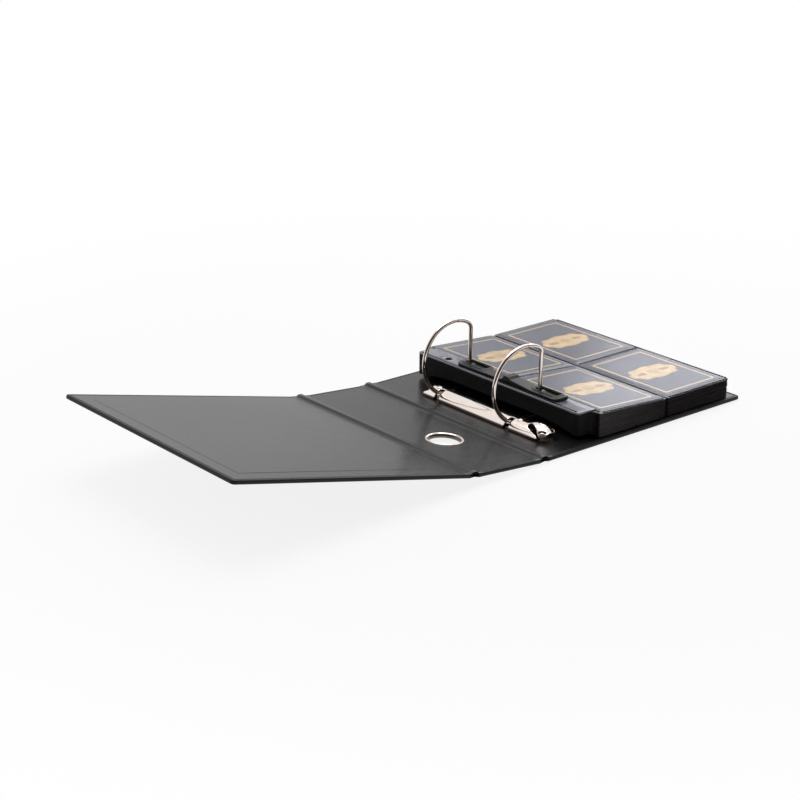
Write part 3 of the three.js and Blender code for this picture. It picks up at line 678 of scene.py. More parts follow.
def page_film(colours, name, shine):
    """Black polypropylene: satin, with a streaked brown bloom beyond the binding strip."""
    s = new_shader(name)
    grain = s.noise(1800, 2.0, 0.6)
    streaks = s.noise(120, 4.0, 0.65, (0.12, 0.12, 3.0))
    outer = s.part(s.place(), 0).between(*BLOOM_EDGE)
    bloom = (0.35 + streaks.between(0.36, 0.68) * 0.65) * outer
    return s.coat(
        base_color=s.mix(bloom, opaque(colours.film, 0.4), opaque(colours.film_edge)),
        roughness=0.55 - outer * 0.16 + grain * 0.1,
        normal=s.bump(grain + streaks * 1.5, 0.00004),
        specular_ior_level=shine,
    )


def clear_film(colours):
    """Clear pocket film: it mirrors more at a slant, and has a faint milkiness."""
    s = new_shader("pocket_film")
    ripple = s.noise(38, 2.0, 0.5)
    fine = s.noise(2200, 2.0, 0.6)
    haze = s.noise(30, 3.0)
    slant = s.node("ShaderNodeLayerWeight", {}, {"Blend": 0.5}, output=1) ** 5
    shine = s.principled(
        base_color=opaque(colours.haze),
        metallic=0.45,
        roughness=0.19 + fine * 0.02,
        normal=s.bump(ripple * 4.0, 0.00005),
    )
    clear = s.node("ShaderNodeBsdfTransparent", {}, {"Color": (0.97, 0.97, 0.98, 1.0)})
    return s.finish(s.blend(slant * 0.48 + haze * 0.03 + 0.08, clear, shine))


def strip_film(colours):
    """Clear film welded over black: a glossy skin whose lavender grey colour is painted sheen of the clear
    film.
    """
    s = new_shader("strip_film")
    ripple = s.noise(38, 2.0, 0.5)
    fine = s.noise(2200, 2.0, 0.6)
    return s.coat(
        base_color=s.tones(ripple, colours.strip, 0.85, 1.15),
        roughness=0.14 + fine * 0.05,
        normal=s.bump(ripple * 4.0 + fine * 0.2, 0.00005),
        specular_ior_level=0.5,
        coat_weight=0.1,
        coat_roughness=0.1,
    )


def film_rim(colours):
    """The clear film's welded rim, in light grey: painted highlight along the strip's binding edge."""
    s = new_shader("film_rim")
    grain = s.noise(900, 3.0, 0.6)
    colour = s.tones(grain, colours.rim, 0.85, 1.15)
    return s.coat(base_color=colour, roughness=0.28 + grain * 0.12, normal=s.bump(grain, 0.00003))


def card_face(colours):
    """The slate face of a card in its matt sleeve, with soft clouding."""
    s = new_shader("card_face")
    grain = s.noise(3200, 2.0, 0.6)
    cloud = s.noise(26, 4.0, 0.6)
    colour = s.tones(cloud, colours.card, 0.8, 1.25)
    return s.coat(base_color=colour, roughness=0.42 + grain * 0.12, normal=s.bump(grain, 0.000004))


def foil(colours, name, colour, depth):
    """Printed gold with a fine speckle and soft changes of tone."""
    s = new_shader(name)
    speckle = s.noise(2400, 2.0, 0.7)
    cloud = s.noise(90, 4.0, 0.65)
    return s.coat(
        base_color=s.tones(cloud.between(0.3, 0.7), getattr(colours, colour), depth, 1.12),
        metallic=0.25,
        roughness=0.34 + speckle * 0.16,
        normal=s.bump(speckle, 0.00002),
    )


def moulded_plastic(colours):
    """Black moulded plastic with a fine spark-eroded texture and faint flow lines."""
    s = new_shader("moulded_plastic")
    spark = s.noise(1900, 3.0, 0.7)
    flow = s.noise(45, 3.0, 0.5, (1, 0.25, 1))
    return s.coat(
        base_color=s.tones(flow, colours.plastic, 0.8, 1.35),
        roughness=0.24 + spark * 0.12 + flow * 0.06,
        normal=s.bump(spark, 0.00004),
        specular_ior_level=0.35,
    )


def weld_mark(colours):
    """The pressed weld, where the clear film is fused to the black one."""
    s = new_shader("weld_mark")
    grain = s.noise(2500, 2.0, 0.6)
    return s.coat(
        base_color=s.tones(grain, colours.film, 0.1, 0.5),
        roughness=0.6 + grain * 0.2,
        normal=s.bump(grain, 0.00003),
        specular_ior_level=0.0,
    )


# Each finish: the function that makes it, and what that function takes after the colours
FINISH_MAKERS = {
    "skin": (embossed_skin,),
    "lining": (lining_sheet,),
    # The plate's last pair is the height band of its painted foot shade, in metres.
    "plate": (plated, "plate_nickel", 0.1, (1, 0.06, 1), 1.0, (0.0016, 0.0026)),
    "lever": (plated, "lever_nickel", 0.1, (1, 0.06, 1)),
    # A near black copy of the nickel: painted shade for the parts under the lever's pad.
    "shaded": (plated, "shaded_nickel", 0.3, (1, 1, 1), 0.05),
    # The throat's finish: a darkened copy of the nickel, painted shade inside the finger hole.
    "barrel": (plated, "barrel_nickel", 0.18, (1, 1, 0.2), 0.22),
    "wire": (plated, "wire_nickel", 0.06, (1, 1, 1)),
    "eyelet": (plated, "eyelet_nickel", 0.12, (1, 1, 0.2)),
    "film": (page_film, "page_film", 0.35),
    "backing": (page_film, "backing_film", 0.08),
    "clear": (clear_film,),
    # The strip's finish carries painted sheen of the clear film.
    "strip": (strip_film,),
    "rim": (film_rim,),
    "card": (card_face,),
    "pale_gold": (foil, "pale_gold", "gold", 0.86),
    "deep_gold": (foil, "deep_gold", "deep_gold", 0.8),
    "plastic": (moulded_plastic,),
    "weld": (weld_mark,),
}
FINISHES = {}


def finish_named(name):
    """A finish that is made the first time a piece asks for it."""
    if name not in FINISHES:
        make, *settings = FINISH_MAKERS[name]
        FINISHES[name] = make(bpy.context.scene.binder_colours, *settings)
    return FINISHES[name]


# Property groups


def colour_property(name, description, default):
    return bpy.props.FloatVectorProperty(
        name=name, description=description, default=default, subtype="COLOR", min=0.0, max=1.0
    )


def length_property(name, description, millimetres):
    return bpy.props.FloatProperty(
        name=name, description=description, default=millimetres * MM, unit="LENGTH", min=0.0
    )


class BinderColours(bpy.types.PropertyGroup):
    skin: colour_property("Case skin", "Colour of the skin round the boards", (0.012, 0.0115, 0.012))
    lining: colour_property("Lining", "Colour of the sheet inside the covers", (0.0125, 0.0112, 0.0116))
    nickel: colour_property("Nickel", "Colour of the plated metal", (0.84, 0.755, 0.7))
    # Painted shade: this dark colour on the plate's foot stands for the shadow under its flank.
    painted_foot_shade: colour_property("Painted foot shade", "Colour of the plated metal along its foot", (0.05, 0.036, 0.03))
    film: colour_property("Page film", "Colour of the black page film", (0.011, 0.01, 0.0105))
    film_edge: colour_property("Film bloom", "Colour of the page film's bloom", (0.062, 0.052, 0.052))
    haze: colour_property("Clear film", "Colour of the light on the clear film", (0.82, 0.83, 0.93))
    # Painted sheen: this lavender grey stands for the clear film's sheen over the black strip.
    strip: colour_property("Strip film", "Colour of the strip under its clear film", (0.2, 0.205, 0.245))
    # Painted highlight: this light grey stands for the bright line on the strip's binding edge.
    rim: colour_property("Film rim", "Colour of the clear film's welded rim", (0.42, 0.42, 0.46))
    card: colour_property("Card", "Colour of the card face", (0.034, 0.036, 0.052))
    gold: colour_property("Pale gold", "Colour of the frame and the cartouche", (0.95, 0.68, 0.27))
    deep_gold: colour_property("Deep gold", "Colour of the ornament's shaded parts", (0.46, 0.22, 0.05))
    plastic: colour_property("Compressor", "Colour of the moulded compressor", (0.01, 0.01, 0.0105))
    floor: colour_property("Floor", "Colour of the floor and the backdrop", (0.95, 0.95, 0.95))


class BinderSizes(bpy.types.PropertyGroup):
    skin_edge: length_property("Skin edge", "Radius of the skin where it turns over a board", 0.9)
    ridge: length_property("Hinge ridge", "Height of the ridge over each hinge", 2.0)
    turn_in: length_property("Turn-in", "Width of the skin's turned-in border", 15.0)
    groove_inset: length_property("Groove inset", "Distance of the groove from a panel's edge", 2.4)
    groove_depth: length_property("Groove depth", "Depth of the groove inside the rolled edge", 0.22)
    film_wave: length_property("Film wave", "Height of the waves in the pocket film", 0.12)
    foil: length_property("Foil", "Thickness of the printed gold", 0.03)
    weld_pitch: length_property("Weld pitch", "Distance between the marks of a weld line", 3.0)
    weld_dash: length_property("Weld dash", "Length of each mark of a weld line", 1.6)
    lens: bpy.props.FloatProperty(
        name="Lens", description="Focal length of the camera in millimetres", default=87.36, min=1.0
    )


def size(name):
    """A size that the user can change, in millimetres."""
    return getattr(bpy.context.scene.binder_sizes, name) / MM


# Case: three panels, two hinges and a finger hole


def panel_outline(name):
    """A panel's corners, rounder at the fore-edge, and at which end of it the fore-edge is."""
    half = CASE_LENGTH / 2
    if name == "back_cover":
        x0, x1, fore = HINGE_CLEAR, BACK_WIDTH, "end"
    elif name == "spine":
        x0, x1, fore = HINGE_CLEAR - SPINE_WIDTH, -HINGE_CLEAR, "none"
    else:
        x0, x1, fore = -COVER_WIDTH, -HINGE_CLEAR, "start"
    start, end = (3.0 if fore == side else 1.0 for side in ("start", "end"))
    return [(x0, -half, start), (x1, -half, end), (x1, half, end), (x0, half, start)], fore


def lining_outline(corners, fore):
    """The part of a panel inside the turned-in border."""
    border = size("turn_in")
    (x0, y0, _), (x1, y1, _) = corners[0], corners[2]
    start = border if fore == "start" else 3.0
    end = border if fore == "end" else 3.0
    return rectangle(x0 + start, y0 + border, x1 - end, y1 - border, 0.6)


GROOVE = ((0, 0.0), (2, 0.25), (4, 0.85), (5.5, 1.0), (7, 0.85), (9, 0.25), (11, 0.0))
FINGER_HOLE = (-35.9, -32.3)
FINGER_RADIUS = 11.7
BARREL_WALL = 0.7


def panel(name):
    """Makes a panel's skin, rolled over its board with a groove inside the roll, and its lining."""
    corners, fore = panel_outline(name)
    outline = subdivided(filleted(corners, 6), 6.0)
    holes = []
    if name == "spine":
        holes = [hole(circle(*FINGER_HOLE, FINGER_RADIUS + BARREL_WALL + 0.2, 64))]
    roll = rounding(size("skin_edge"), 5)
    middle, deep = size("groove_inset"), size("groove_depth")
    groove = [(middle + 0.55 - 0.1 * k, deep * share) for k, share in GROOVE]
    eased = 0.15
    plain = [(eased, 0.0)] * len(groove)
    plain += [(eased * inset / roll[0][0], eased * drop / roll[0][0]) for inset, drop in roll]
    skin = Form()
    skin.slab(
        [outline, *holes], CASE_HALF - 0.1, -CASE_HALF, groove + roll, roll,
        step=(14, 14), at_holes=plain, face=1, margin=0.4,
    )
    made = skin.piece(f"{name}_skin", ["skin", "lining"], "wrap", name, PANEL_FRAMES[name])
    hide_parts(f"{name}_wrap", f"{name}_board")
    sheet = Form()
    inner = subdivided(lining_outline(corners, fore), 12.0)
    sheet.slab(
        [inner, *holes], CASE_HALF, CASE_HALF - 0.5, rounding(0.12, 3), rounding(0.05, 1),
        step=(14, 14), margin=0.4,
    )
    made = sheet.piece(f"{name}_lining", ["lining"], "liner", name, PANEL_FRAMES[name])
    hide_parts(f"{name}_liner")


HINGE_REACH = 8.5
HINGE_STOP = 4.4
OUTER_RIDGE = 3.1
# Each hinge: the body before it, the body after it, its place, its tilt and the tilt before it
HINGES = {
    "spine_hinge": ("back_cover", "spine", SPINE_HINGE, SPINE_TILT, 0.0),
    "cover_hinge": ("spine", "front_cover", COVER_HINGE, COVER_TILT, SPINE_TILT),
}


def hinge_skins(name):
    """Makes a hinge's two skins: the lining bulges up in a ridge and the outer skin follows it."""
    near_body, far_body, centre, tilt, lean = HINGES[name]
    ridge = size("ridge")
    across = np.linspace(-HINGE_REACH, HINGE_REACH, 69)
    aside = np.abs(across)

    def bulge(width, height):
        return height * np.exp(-((aside / width) ** 4))

    taper = np.clip((HINGE_REACH - aside) / 2.5, 0, 1)
    inner_top = CASE_HALF - 0.05 + 0.09 * taper + bulge(3.25, ridge - 0.05)
    inner_low = CASE_HALF - 0.3 + bulge(3.0, ridge - 0.2)
    outer_low = -CASE_HALF + bulge(2.9, OUTER_RIDGE)
    outer_top = outer_low + 0.08 + 0.42 * np.clip((HINGE_STOP - aside) / 0.8, 0, 1)
    form = Form()
    half = CASE_LENGTH / 2
    for upper, lower, setback in ((inner_top, inner_low, 0.3), (outer_top, outer_low, 0.6)):
        x = np.concatenate([across, across[::-1]])
        height = np.concatenate([upper, lower[::-1]])
        middle = (height + np.concatenate([lower, upper[::-1]])) / 2
        end = half - setback
        spots = [(y, 1.0) for y in np.linspace(4 - half, half - 4, 34)]
        spots = [(-end, 0.5), (0.2 - end, 1.0), *spots, (end - 0.2, 1.0), (end, 0.5)]
        form.rows([
            np.column_stack([x, np.full(len(x), y), middle + (height - middle) * full])
            for y, full in spots
        ], cap=True)

    def leant(points):
        angle = lean + tilt * smooth_rise(np.maximum(points[:, 0] + 2.5, 0), 5.0)
        x = points[:, 0] * np.cos(angle) + points[:, 2] * np.sin(angle)
        z = -points[:, 0] * np.sin(angle) + points[:, 2] * np.cos(angle)
        return np.column_stack([x, points[:, 1], z])

    form.moved(leant)
    made = form.piece(f"{name}_skins", ["lining"], "welt", None, Matrix.Translation(centre))
    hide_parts(f"{name}_welt")

    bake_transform(made)


def finger_hole():
    """Makes the eyelet that lines the finger hole, and the ring clenched on the outside."""
    flange, face = 14.5, CASE_HALF
    inner, outer = FINGER_RADIUS, FINGER_RADIUS + BARREL_WALL
    bead = [(0.0, 0.1), (0.1, 0.26), (0.3, 0.4), (0.6, 0.45), (0.9, 0.42), (1.2, 0.3), (1.5, 0.12)]
    throat = [(0.8, -0.1), (0.55, -0.3), (0.35, -0.6), (0.2, -1.0), (0.1, -1.6), (0.05, -2.3)]
    rim = [(outer + 0.12, face + 0.03), (flange - 0.15, face + 0.03)]
    rim += [(flange - inset, face + rise) for inset, rise in bead]
    tube = [rim[-1]] + [(inner + widening, face + rise) for widening, rise in throat]
    tube += [(inner, -face + 0.5), (inner + 0.1, -face + 0.1), (outer, -face + 0.1), rim[0]]
    eyelet = Form()
    turned(eyelet, rim, FINGER_HOLE, 96)
    # The throat is in the darkened nickel: painted shade inside the hole.
    turned(eyelet, tube, FINGER_HOLE, 96, 1)
    place = PANEL_FRAMES["spine"]
    made = eyelet.piece("finger_hole_eyelet", ["eyelet", "barrel"], "nickel", "spine", place)
    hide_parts("finger_hole_grommet")
    ring = Form()
    section = [(0.15, 0.45), (2.1, 0.45), (2.1, 0.2), (1.7, 0.0), (0.6, 0.0), (0.15, 0.2), (0.15, 0.45)]
    turned(ring, [(outer + out, rise - face) for out, rise in section], FINGER_HOLE, 96)
    made = ring.piece("finger_hole_backring", ["eyelet"], "nickel", "spine", place)
    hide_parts("finger_hole_washer")


# Ring mechanism


def arch_place(points):
    """Wraps (arc length, y, height off the middle surface) round the plate's arch."""
    middle = ARCH_RADIUS - PLATE_THICKNESS / 2
    angle = points[:, 0] / middle
    radius = middle + points[:, 2]
    x = PLATE_X + radius * np.sin(angle)
    z = ARCH_CENTRE_Z + radius * np.cos(angle)
    return np.column_stack([x, points[:, 1], z])


def arc_length(x):
    """How far round the arch a place x off the middle is."""
    middle = ARCH_RADIUS - PLATE_THICKNESS / 2
    return middle * math.asin(max(-1.0, min(1.0, x / middle)))


def sprung_plate():
    """Makes the arched plate: a foot at each corner, ring notches and dished rivet seats."""
    middle = ARCH_RADIUS - PLATE_THICKNESS / 2
    foot = middle * (math.pi / 2 - math.asin(-ARCH_CENTRE_Z / middle))
    ear, throat = arc_length(EAR_REACH), arc_length(PLATE_THROAT_X)

    def notch(y, edge, tip, radius):
        low, high = y - NOTCH_HALF, y + NOTCH_HALF
        return [(edge, low, 0.5), (tip, low, radius), (tip, high, radius), (edge, high, 0.5)]

    far_end = [(foot, EAR_FAR_Y, 1.8), (ear, EAR_FAR_Y, 1.0), (throat, PLATE_FAR_Y, 2.0)]
    near_end = [(foot, -62.5, 3.0)] + [(arc_length(x), y, radius) for x, y, radius in NEAR_EAR]
    corners = [c for y in RING_PLACES for c in notch(y, foot, arc_length(3.2), 1.6)]
    corners += far_end + [(-x, y, radius) for x, y, radius in far_end[::-1]]
    corners += [c for y in RING_PLACES[::-1] for c in notch(y, -foot, arc_length(-1.2), 1.2)[::-1]]
    corners += [(-x, y, radius) for x, y, radius in near_end] + near_end[::-1]
    outline = subdivided(filleted(corners, 6), 1.6)
    holes = [hole(circle(0, y, RIVET_HOLE, 28)) for y in RIVET_PLACES]

    def lift(x, y):
        seats = sum(smooth_rise(np.hypot(x, y - at), SEAT_REACH) for at in RIVET_PLACES)
        bead = smooth_rise(np.abs(np.abs(x) - foot + 1.3), 0.9) * 0.12
        return -RIVET_SEAT * np.clip(seats, 0, 1) + bead

    form = Form()
    half = PLATE_THICKNESS / 2
    form.slab(
        [outline, *holes], lambda x, y: lift(x, y) + half, lambda x, y: lift(x, y) - half,
        rounding(0.22, 3), step=(1.1, 1.5),
    )
    form.moved(arch_place)
    made = form.piece("sprung_plate", ["plate"], "nickel", "back_cover", sharp=50)
    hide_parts("mechanism_plate")


def rivets():
    """Makes the two domed rivets that hold the plate."""
    crown = PLATE_CROWN - RIVET_SEAT
    dome = [
        (0.4 + 2.2 * math.cos(a), crown + 0.25 + 0.6 * math.sin(a))
        for a in np.linspace(0, math.pi / 2, 7)
    ]
    profile = [(0.01, -2.2), (1.6, -2.2), (1.6, crown + 0.02), (2.5, crown + 0.05), *dome]
    profile += [(0.2, crown + 0.72), (0.01, crown + 0.7)]
    for name, y in zip(("near_rivet", "far_rivet"), RIVET_PLACES):
        form = Form()
        turned(form, profile, (PLATE_X, y), 40)
        made = form.piece(f"{name}_head", ["plate"], "nickel", "back_cover")
        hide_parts(name)


def ring_angle(x, side):
    """The angle on the ring's circle at a place x."""
    return side * math.acos((x - RING_CENTRE[0]) / RING_RADIUS)


def ring_arc(centre, radius, start, end, steps):
    """Points along an arc in x and z."""
    angles = np.linspace(start, end, steps)
    return np.stack([centre[0] + radius * np.cos(angles), centre[1] + radius * np.sin(angles)], 1)


def ring_wire(name, body, path, y, mate_end):
    """Makes a bent wire along a path in x and z, with a stepped mate at one end."""
    sides = 28
    angles = np.arange(sides) * 2 * math.pi / sides
    ahead = np.gradient(path, axis=0)
    ahead /= np.linalg.norm(ahead, axis=1)[:, None]
    across = np.stack([-ahead[:, 1], ahead[:, 0]], 1)
    mate = 0.6 * np.clip(1.6 * np.sin(angles * 2 + 0.6), -1, 1)
    rows = []
    for index, (spot, way, out) in enumerate(zip(path, ahead, across)):
        from_mate = len(path) - 1 - index if mate_end else index
        step = mate * (1.0, 0.75)[from_mate] if from_mate < 2 else 0 * mate
        radius = WIRE_RADIUS * (0.88 if from_mate == 0 else 1.0)
        flat = spot + radius * np.cos(angles)[:, None] * out + step[:, None] * way
        rows.append(np.column_stack([flat[:, 0], y + radius * np.sin(angles), flat[:, 1]]))
    form = Form()
    form.rows(rows, cap=True)
    made = form.piece(f"{name}_wire", ["wire"], "nickel", body, sharp=55)
    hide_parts(name)


def ring_paths():
    """The centre lines of the left and the right half of a ring."""
    split = RING_CENTRE[0] + RING_SPLIT
    root = 2 * math.pi + ring_angle(PLATE_X - 3.0, -1)
    left_end, right_end = (ring_angle(split + side * RING_GAP / 2, 1) for side in (-1, 1))
    left = ring_arc(RING_CENTRE, RING_RADIUS, root, left_end, 96)
    bend, foot_bend = POST_BENDS
    bend_x = POST_X - bend
    bend_z = RING_CENTRE[1] + math.sqrt((RING_RADIUS - bend) ** 2 - (bend_x - RING_CENTRE[0]) ** 2)
    join = math.atan2(bend_z - RING_CENTRE[1], bend_x - RING_CENTRE[0])
    foot_x, foot_z = POST_X - foot_bend, FOOT_LEVEL + foot_bend
    parts = [
        ring_arc(RING_CENTRE, RING_RADIUS, right_end, join, 24),
        ring_arc((bend_x, bend_z), bend, join, 0, 14)[1:],
        np.stack([np.full(12, POST_X), np.linspace(bend_z, foot_z, 14)[1:-1]], 1),
        ring_arc((foot_x, foot_z), foot_bend, 0, -math.pi / 2, 12),
        np.linspace((foot_x, FOOT_LEVEL), (PLATE_X + FOOT_END[0], FOOT_END[1]), 12)[1:],
    ]
    return left, np.concatenate(parts)


def rings():
    """Makes the four half rings."""
    left, right = ring_paths()
    for side, y in zip(("near", "far"), RING_PLACES):
        ring_wire(f"{side}_left_ring", "left_rings", left, y, True)
        ring_wire(f"{side}_right_ring", "right_rings", right, y, False)


# The lever's pad: place along the plate and half its width there
PAD_SHAPE = (
    (-57.5, 0.8), (-59.0, 1.3), (-60.8, 2.0), (-63.0, 3.0), (-66.0, 4.4), (-69.0, 5.6), (-71.4, 6.7),
    (-73.2, 7.9), (-75.2, 8.6), (-77.0, 8.3), (-78.4, 7.0), (-79.3, 4.8), (-79.5, 1.6),
)
# The lever's pad: place along the plate and its rise over the arch
PAD_RISE = (
    (-79.5, -1.0), (-79.0, -0.6), (-77.2, 0.75), (-74.4, 2.2), (-71.2, 3.1), (-67.4, 3.45), (-64.2, 3.3),
    (-62.0, 2.9), (-60.0, 2.2), (-58.3, 0.8), (-57.2, -0.6),
)
PAD_LINES = (-73.0, -74.8)


def thumb_lever():
    """Makes the opening lever: a domed, leaf-shaped pad with grip ridges and a cut round its lip."""
    side = [(-arc_length(wide), y) for y, wide in PAD_SHAPE]
    outline = curved(side + [(-x, y) for x, y in side[::-1]], 4)
    cut = [
        (-7.7, -74.2), (-6.5, -75.2), (-5.2, -76.7), (-4.6, -78.3), (-3.5, -78.0), (-4.2, -75.8),
        (-5.7, -74.1), (-7.2, -73.3),
    ]
    cuts = [curved([(side * arc_length(x), y) for x, y in cut], 4) for side in (1, -1)]
    rise_y, rise_z = zip(*PAD_RISE)
    rise = softened(rise_y, rise_z, 1.0)

    def lift(x, y):
        across = smooth_rise(np.maximum(np.abs(x) - 4.0, 0), 0.9)
        return -0.4 * across * sum(smooth_rise(np.abs(y - at), 0.5) for at in PAD_LINES)

    def raised(points):
        placed = arch_place(points)
        placed[:, 2] += rise(points[:, 1])
        return placed

    half = PLATE_THICKNESS / 2
    form = Form()
    form.slab(
        [outline, cuts[0][::-1], cuts[1]], lambda x, y: lift(x, y) + half,
        lambda x, y: lift(x, y) * 0.5 - half, rounding(0.2, 3), step=(0.5, 0.5),
    )
    form.moved(raised)
    # The tongue, the rib and the boss are in the shaded nickel: painted shade under the pad.
    tongue = subdivided(rectangle(24.0, -64.0, 32.0, -53.7, 0.8), 3)
    form.slab([tongue], 4.5, 3.3, rounding(0.2, 2), finish=1)
    form.slab([rectangle(26.9, -67.4, 29.1, -58.6, 0.6)], 7.6, 3.3, rounding(0.2, 2), finish=1)
    boss = [
        np.insert(circle(*LEVER_PIN, radius, 28), 0, PLATE_X + x, axis=1)
        for x, radius in ((-4, 1.5), (-3.8, 1.7), (3.8, 1.7), (4, 1.5))
    ]
    form.rows(boss, cap=True, finish=1)
    made = form.piece("thumb_lever", ["lever", "shaded"], "nickel", "lever", sharp=50)
    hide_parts("opening_lever")


def kept_metal():
    """Gives the hidden blades and the lever's pin their plated finish and eased edges."""
    for name in ("left_blade", "right_blade", "lever_pin"):
        node = frame["nodes"][name]
        node.data.materials.clear()
        node.data.materials.append(finish_named("plate"))
        ease = node.modifiers.new("eased_edges", "BEVEL")
        ease.width = 0.12 * MM
        ease.segments = 2
        ease.limit_method = "ANGLE"


# Pages


def fold_nick(y):
    """The corners of the nick at the fold, in the end of a page at y."""
    bottom = y - math.copysign(NICK_DEPTH, y)
    return [(FOLD_X - NICK_HALF, y, 0.8), (FOLD_X, bottom, 0.35), (FOLD_X + NICK_HALF, y, 0.8)]


def page_outline(near, far, fore):
    """A page with a scooped corner at each end of its binding strip and a nick at the fold."""

    def end(y):
        strip = math.copysign(STRIP_HALF, y)
        scoop = [(BINDING_X, strip, STRIP_CORNER), (SCOOP_X, strip, 5.4), (SCOOP_X, y, 1.4)]
        return [*scoop, *fold_nick(y), (fore, y, PAGE_CORNER)]

    return filleted(end(-near) + end(far)[::-1], 5)


def ring_slots():
    """The holes that the rings pass, and the two spare ones."""
    x0, x1 = POST_X - WIRE_RADIUS - 1.0, POST_X + WIRE_RADIUS + 3.1
    slots = [hole(rectangle(x0, y - 2.4, x1, y + 2.4, 2.1, 6)) for y in RING_PLACES]
    x, y, radius = SPARE_HOLE
    return slots + [hole(circle(x, side * y, radius, 24)) for side in (-1, 1)]


def page_floor(binding, fore):
    """The height of a page's underside: it rises over the strip and is flat over the outer column."""
    knots = (BINDING_X, STRIP_END_X, WELD_X, FOLD_X, FORE_X)
    return softened(knots, (binding + STRIP_RISE, binding + STRIP_RISE, binding, fore, fore), 0.9)


def sag_share(x, y):
    """How much of the stack's sag a place takes: all at the two ends of the inner column."""
    along = np.clip((np.abs(y) - SAG_START_Y) / (PAGE_HALF - SAG_START_Y), 0, 1) ** 1.4
    return along * np.clip((FOLD_X - x) / (FOLD_X - WELD_X), 0, 1)


def lower_pages():
    """Makes the thirteen pages under the top one, each a little out of line with the next."""
    chance = np.random.default_rng(11)
    for index in range(LOWER_PAGES):
        near, far = PAGE_HALF - chance.uniform(0.0, 0.35, 2)
        fore = FORE_X - chance.uniform(0.0, 0.6)
        phase = chance.uniform(0, 2 * math.pi, 4)
        level = page_floor(
            BINDING_FLOOR + index * BINDING_PITCH, FORE_FLOOR + index * FORE_PITCH
        )
        sag = (BINDING_FLOOR - FORE_FLOOR) * (1 - index / (LOWER_PAGES - 1))

        def floor(x, y):
            share = np.clip((x - WELD_X) / 60, 0, 1)
            waves = np.sin(x / 9.0 + phase[0]) + np.sin(x / 23.0 + phase[1])
            waves += np.sin(y / 11.0 + phase[2]) + np.sin(y / 27.0 + phase[3])
            return level(x) - sag * sag_share(x, y) + (0.015 + 0.13 * share) * waves / 4

        def pinch(x):
            return 0.16 * smooth_rise(np.abs(x - FOLD_X), 2.2)

        def top(x, y):
            return floor(x, y) + PAGE_THICKNESS + 0.5 * sag_share(x, y) - pinch(x)

        def bottom(x, y):
            return floor(x, y) + pinch(x)

        form = Form()
        outline = subdivided(page_outline(near, far, fore), 4.0, PAGE_BENDS)
        form.slab(
            [outline, *ring_slots()], top, bottom, lipped(PAGE_THICKNESS - 0.32, 0.4),
            step=(16, 16), columns=(STRIP_END_X, WELD_X, FOLD_X - 2.2, FOLD_X, FOLD_X + 2.2),
        )
        number = f"{index + 1:02d}"
        made = form.piece(f"page_leaf_{number}", ["film"], "film", "back_cover")
        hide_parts(f"page_{number}")


def leaf_floor(x, _y=None):
    """The height of the top leaf's underside."""
    return np.interp(x, (WELD_X, FOLD_X, FORE_X), (TOP_BINDING_Z, TOP_FORE_Z, TOP_FORE_Z))


def top_strip():
    """Makes the top page's binding strip: clear film over black, with its holes and a welded rim."""
    knots = (BINDING_X, STRIP_END_X, WELD_X)
    lifted = TOP_BINDING_Z + STRIP_RISE
    floor = softened(knots, (lifted, lifted, TOP_BINDING_Z), 0.6)
    thick = STRIP_TOP_Z - lifted
    x0, x1 = BINDING_X, WELD_X - 0.3
    corners = [
        (x0, -STRIP_HALF, STRIP_CORNER), (x1, -STRIP_HALF, 0.8), (x1, STRIP_HALF, 0.8),
        (x0, STRIP_HALF, STRIP_CORNER),
    ]
    outline = subdivided(filleted(corners), 4.0, (STRIP_END_X,))
    form = Form()
    edge = [(1.1, 0.0), (0.8, 0.05), (0.5, 0.05), (0.3, 0.0), (0.1, 0.06), (0.0, 0.18)]
    form.slab(
        [outline, *ring_slots()], lambda x, y: floor(x) + thick, floor, edge, rounding(0.12, 2),
        step=(3, 8), columns=(STRIP_END_X,), at_holes=[(0.2, 0.0)] * 4 + edge[4:],
    )
    # The welded rim along the binding edge is in light grey: painted highlight of the edge.
    rim = rectangle(x0 + 0.25, 2.8 - STRIP_HALF, x0 + 0.85, STRIP_HALF - 2.8, 0.2)
    form.slab([subdivided(rim, 6)], STRIP_TOP_Z + 0.1, STRIP_TOP_Z - 0.2, rounding(0.1, 2), finish=1)
    made = form.piece("page_strip", ["strip", "rim"], "film", "back_cover", sharp=60)
    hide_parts("top_page_strip")


def top_backing():
    """Makes the top leaf's black backing film."""

    def end(y):
        return [(WELD_X + 0.3, y, PAGE_CORNER), *fold_nick(y), (FORE_X, y, PAGE_CORNER)]

    form = Form()
    form.slab(
        [subdivided(filleted(end(-PAGE_HALF) + end(PAGE_HALF)[::-1]), 5.0, (FOLD_X,))],
        lambda x, y: leaf_floor(x) + BACKING, leaf_floor, rounding(0.12, 2),
        step=(12, 12), columns=(FOLD_X,),
    )
    made = form.piece("page_backing", ["backing"], "film", "top_leaf")
    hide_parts("top_page_backing")


COLUMNS = {"inner": (WELD_X + 0.5, FOLD_X - 1.1), "outer": (FOLD_X + 1.1, FORE_X - 0.4)}
ROWS = {"near": (-PAGE_HALF + 0.4, -0.04), "far": (0.04, PAGE_HALF - 0.4)}


def pocket_box(row, column):
    """A pocket's corners seen from above."""
    (x0, x1), (y0, y1) = COLUMNS[column], ROWS[row]
    return x0, y0, x1, y1


